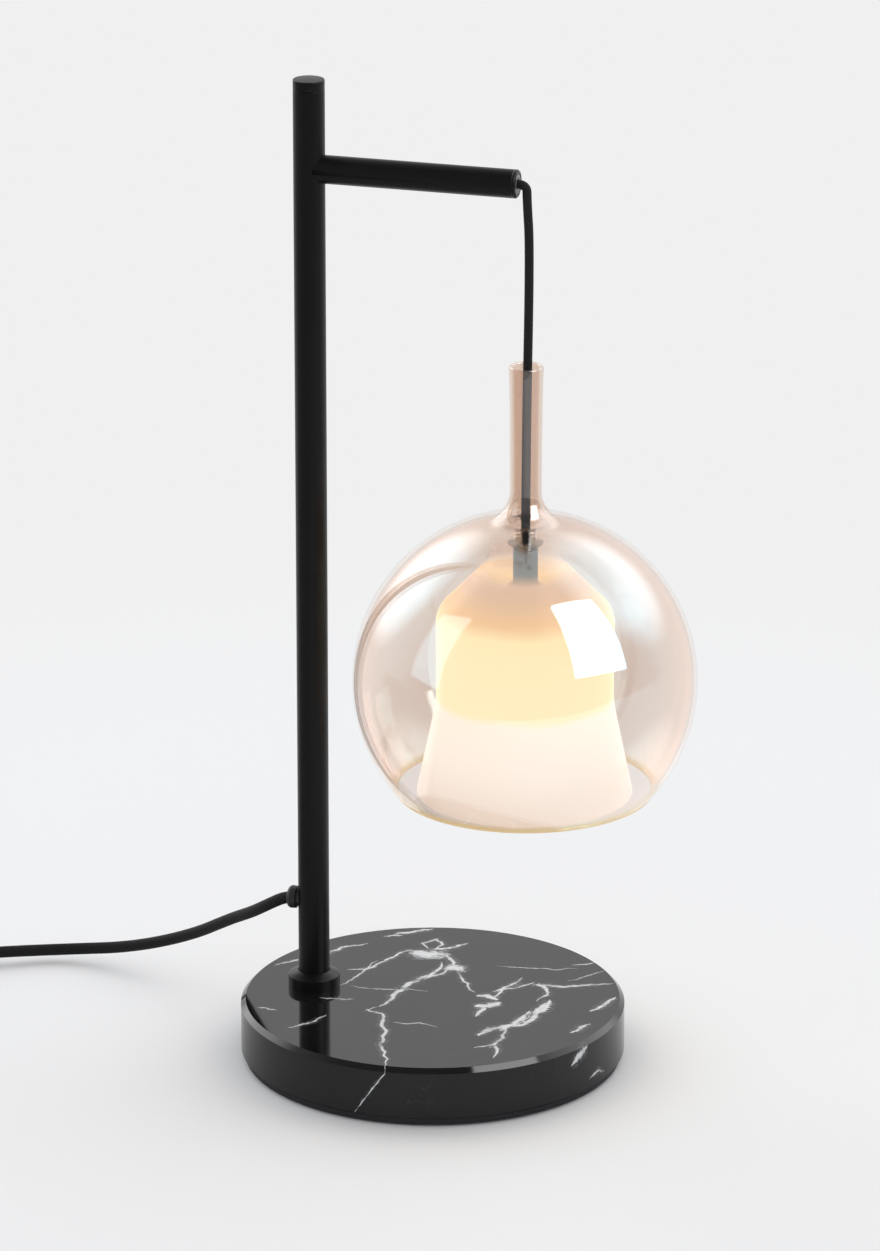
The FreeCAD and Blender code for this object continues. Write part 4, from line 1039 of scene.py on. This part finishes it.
def silicone_finish():
    finish, wire = new_finish("silicone")
    cloud = wire.noise(300.0, 2.0)
    return close_finish(finish, wire.solid({
        "Base Color": cloud.mixed(rgba(0.62, 0.58, 0.54), rgba(0.75, 0.71, 0.67)),
        "Roughness": 0.42, "Alpha": 0.12}))


smoothed("globe_seat", acrylic_finish(), "clear_acrylic")
silicone = silicone_finish()
for node in ("globe_seat_ring", "diffuser_upper_washer", "diffuser_lower_washer"):
    smoothed(node, silicone, "silicone")

# Inner shade: a bell of opal glass, blown in a mould with a short neck, a sloping shoulder and a
# waist that widens to an open mouth. It is clear round the neck, and its warm glow is painted on.
bell_wall = 0.002
bell_corners = ((0.0, 0.2853), (0.0181, 0.2853), (0.0181, 0.277), (0.0456, 0.2485),
                (0.0454, 0.2), (0.0554, 0.152))
bell_drop_shares = (1, 1, 0.4, 0.4, 0, 0)
bell_bends = (0.0032, 0.005, 0.014, 0.06)
bell_bend_steps = 12
bell_hole_radius = 0.0026
bell_lip = ((0.0550, 0.1514), (0.0540, 0.1514))
bell_foot = 0.15
bell_painted_glow_height = 0.136
bell_fade_heights = (0.2660, 0.2750)


def bell_surface(inset):
    """Rounded outline of one face of the bell, from its top hole to its mouth."""
    corners = [Vector((max(radius - inset, bell_hole_radius), height - inset * share))
               for (radius, height), share in zip(bell_corners, bell_drop_shares)]
    outline = [tuple(corners[0])]
    for before, corner, after, bend in zip(corners, corners[1:], corners[2:], bell_bends):
        arriving = (corner - before).normalized()
        leaving = (after - corner).normalized()
        half_turn = arriving.angle(leaving) / 2
        first = corner - arriving * bend * tan(half_turn)
        last = corner + leaving * bend * tan(half_turn)
        for step in range(bell_bend_steps + 1):
            share = step / bell_bend_steps
            pull = 2 * share * (1 - share) * cos(half_turn)
            total = (1 - share) ** 2 + pull + share ** 2
            outline.append(tuple((first * (1 - share) ** 2 + corner * pull
                                  + last * share ** 2) / total))
    outline.append(tuple(corners[-1]))
    return outline


def painted_glow_opal_finish():
    """Opal glass with a painted warm glow that changes with height, fading to clear under its
    neck.
    """
    finish, wire = new_finish("opal_glass_painted_glow")
    height = wire.place().along("Z")
    cloud = (wire.noise(38.0, 2.0) - 0.5) * 0.004
    level = (height + cloud - bell_foot) / bell_painted_glow_height
    # Painted light: this emission ramp stands in for the bulb shining through the opal.
    glow = level.node("ShaderNodeValToRGB", {"stops": (
        (0.0, (0.67, 0.63, 0.59)), (0.20, (0.77, 0.76, 0.72)), (0.375, (0.84, 0.83, 0.76)),
        (0.405, (0.86, 0.81, 0.50)), (0.71, (0.86, 0.80, 0.47)), (0.76, (0.73, 0.52, 0.26)),
        (0.85, (0.58, 0.44, 0.33)), (1.0, (0.56, 0.48, 0.42)))}, {0: level})
    return close_finish(finish, wire.solid({
        "Base Color": rgba(0.30, 0.29, 0.28), "Roughness": 0.22, "Specular IOR Level": 0.25,
        "Alpha": 1 - height.eased(*bell_fade_heights) * 0.9,
        "Emission Color": glow, "Emission Strength": 1.17}))


outer_bell = bell_surface(0)
inner_bell = bell_surface(bell_wall)
bell_outline = [*outer_bell, *bell_lip, *inner_bell[::-1]]
bell_mesh = turned("opal_bell", bell_outline, (globe_x, 0), sides=160, angle=60.0)
add_piece("opal_bell", bell_mesh, painted_glow_opal_finish(), "pendant_globe", "opal_glass", "inner_diffuser")

# Grip, lampholder and bulb: a gunmetal grip clamps the cord with a set screw over the bell, and
# below it a porcelain lampholder on a brass nipple carries a capsule bulb on two pins.


def cool_painted_gunmetal_finish():
    finish, wire = new_finish("gunmetal")
    turning = wire.noise(1400.0, 3.0)
    return close_finish(finish, wire.solid({
        # Painted light: the blue in this colour stands in for cool light that the grip sends back.
        "Base Color": turning.mixed(rgba(0.16, 0.28, 0.44), rgba(0.19, 0.34, 0.52)),
        "Metallic": 0.4, "Roughness": turning * 0.15 + 0.38,
        "Normal": turning.bump(0.1, 0.00005)}))


def porcelain_finish():
    finish, wire = new_finish("porcelain")
    glaze = wire.noise(200.0, 3.0)
    return close_finish(finish, wire.solid({
        "Base Color": glaze.mixed(rgba(0.78, 0.75, 0.70), rgba(0.86, 0.83, 0.79)),
        "Roughness": glaze * 0.15 + 0.2}))


def lamp_glass_finish():
    finish, wire = new_finish("frosted_lamp_glass")
    frost = wire.noise(800.0, 2.0)
    return close_finish(finish, wire.solid({
        "Base Color": rgba(0.9, 0.86, 0.78), "Roughness": 0.35,
        "Emission Color": frost.mixed(rgba(1.0, 0.80, 0.48), rgba(1.0, 0.86, 0.58)),
        "Emission Strength": 3.0}))


gunmetal = cool_painted_gunmetal_finish()
porcelain = porcelain_finish()
smoothed("cord_grip", gunmetal, "gunmetal", angle=40.0)
smoothed("grip_screw", gunmetal, "gunmetal")
smoothed("holder_nipple", turned_brass, "brass")
smoothed("lampholder", porcelain, "porcelain")
smoothed("bulb_base", porcelain, "porcelain")
dress(zinc_steel, "bulb_pins")
smoothed("bulb_capsule", lamp_glass_finish(), "lamp_glass")

# Studio: a pale floor that runs on evenly into the distance, a bright room behind the lamp and a
# dark one on the camera's side. A large panel stands to the right and a dimmer one to the left.
backdrop_shade = 0.871
painted_dark_reflection_level = 0.12
dark_side = 0.34
bright_side = 0.53
soft_lights = ((49.0, 42.0, 0.78, 0.96), (150.0, 26.0, 0.86, 0.98))
soft_light_strength = 1.9
floor_corners = ((-6, -1.7, 0), (6, -1.7, 0), (6, 10, 0), (-6, 10, 0))
panel_distance = 12.0
globe_centre = Vector((globe_x, 0, globe_height))


def floor_finish():
    """Lit white paper near the lamp, fading to an even shade further off. In mirrors its near side
    shows a painted shade, darkest to the left."""
    finish, wire = new_finish("pale_floor")
    paper = wire.node("ShaderNodeBsdfDiffuse", {}, {"Color": rgba(0.82, 0.826, 0.840)})
    away = wire.node("ShaderNodeVectorMath", {"operation": "LENGTH"}, {0: wire.place()}, "Value")
    seen = away.eased(0.45, 0.95).between(paper, wire.lit(backdrop_shade))
    # Painted shade: mirror rays see the near floor as a dim glow, darkest to the left.
    leftness = 0.65 - wire.place().along("X").eased(-0.5, 0.5) * 0.5
    nearness = 1 - wire.place().along("Y").eased(-0.15, 0.25)
    painted_mirror_shade = wire.ray("Glossy") * leftness * nearness
    return close_finish(finish, painted_mirror_shade.between(seen, wire.lit(painted_dark_reflection_level)))


def stage_sheet(name, corners, finish, camera_sees=True):
    """A flat piece of the studio with four corners."""
    mesh = bpy.data.meshes.new(name)
    mesh.from_pydata([tuple(corner) for corner in corners], [], [(0, 1, 2, 3)])
    mesh.materials.append(finish)
    sheet = placed(name, mesh)
    sheet.visible_camera = camera_sees


def aimed(turn, rise):
    """The direction at these angles in degrees, round from X and up from the floor."""
    turn, rise = radians(turn), radians(rise)
    return Vector((cos(turn) * cos(rise), sin(turn) * cos(rise), sin(rise)))


def panel(name, directions, strength, mirrored_strength):
    """A glowing sheet whose corners lie in these directions from the globe."""
    finish, wire = new_finish(name)
    glow = wire.ray("Glossy").between(wire.lit(strength), wire.lit(mirrored_strength))
    corners = [globe_centre + panel_distance * aimed(*direction) for direction in directions]
    stage_sheet(name, corners, close_finish(finish, glow), camera_sees=False)


stage_sheet("floor", floor_corners, floor_finish())
panel("right_panel", ((-35, 66), (13, 53), (0, 12), (-39, 17)), 0.62, 6.0)
panel("left_panel", ((-160, 41), (-133, 51), (-135, 4), (-158, 5)), 1.2, 1.4)

room = bpy.data.worlds.new("studio_room")
bpy.context.scene.world = room
room.use_nodes = True
room.node_tree.nodes.clear()
wire = Wire(room.node_tree)
heading = wire.node("ShaderNodeTexCoord", output="Generated")


def toward(turn, rise):
    """How nearly the ray heads in this direction: 1 when exactly so."""
    return wire.node("ShaderNodeVectorMath", {"operation": "DOT_PRODUCT"},
                     {0: heading, 1: aimed(turn, rise)}, "Value")


def sky(strength):
    return wire.node("ShaderNodeBackground", {},
                     {"Color": rgba(1.0, 1.0, 1.0), "Strength": strength})


around = toward(106.0, 0.0).eased(-0.35, 0.45) * bright_side + dark_side
for turn, rise, outer_edge, inner_edge in soft_lights:
    around = around + toward(turn, rise).eased(outer_edge, inner_edge) * soft_light_strength
# Mirrors see this room, darker overhead. What it casts on the lamp is evened out, and the camera
# sees one plain shade.
overhead = toward(0.0, 90.0).eased(0.45, 0.95) * 0.5
softened = around * 0.45 + 0.62
around = softened + (around * (1 - overhead) - softened) * wire.ray("Glossy")
surroundings = wire.ray("Camera").between(sky(around), sky(backdrop_shade))
world_output = room.node_tree.nodes.new("ShaderNodeOutputWorld")
room.node_tree.links.new(surroundings.socket, world_output.inputs["Surface"])

# Camera: a long lens a few metres off, a little above the lamp and turned to the right of its
# front, with the frame's own proportions. Colours come out as they are lit, with no film look.
camera_azimuth = radians(16.12)
camera_elevation = radians(19.02)
camera_distance = 3.6
camera_focal_length = 202.3
camera_sensor_width = 36
camera_sight_end = 30
camera_aim_right = 0.0038
camera_aim_height = 0.2364
camera_data = bpy.data.cameras.new("camera")
camera_data.lens = camera_focal_length
camera_data.sensor_width = camera_sensor_width
camera_data.clip_end = camera_sight_end
camera = placed("camera", camera_data)
right = Vector((cos(camera_azimuth), sin(camera_azimuth), 0))
forward = Vector((-sin(camera_azimuth) * cos(camera_elevation),
                  cos(camera_azimuth) * cos(camera_elevation), -sin(camera_elevation)))
camera_aim = right * camera_aim_right + Vector((0, 0, camera_aim_height))
camera.location = camera_aim - forward * camera_distance
camera.rotation_euler = forward.to_track_quat("-Z", "Y").to_euler()
bpy.context.scene.camera = camera
bpy.context.scene.view_settings.view_transform = "Standard"
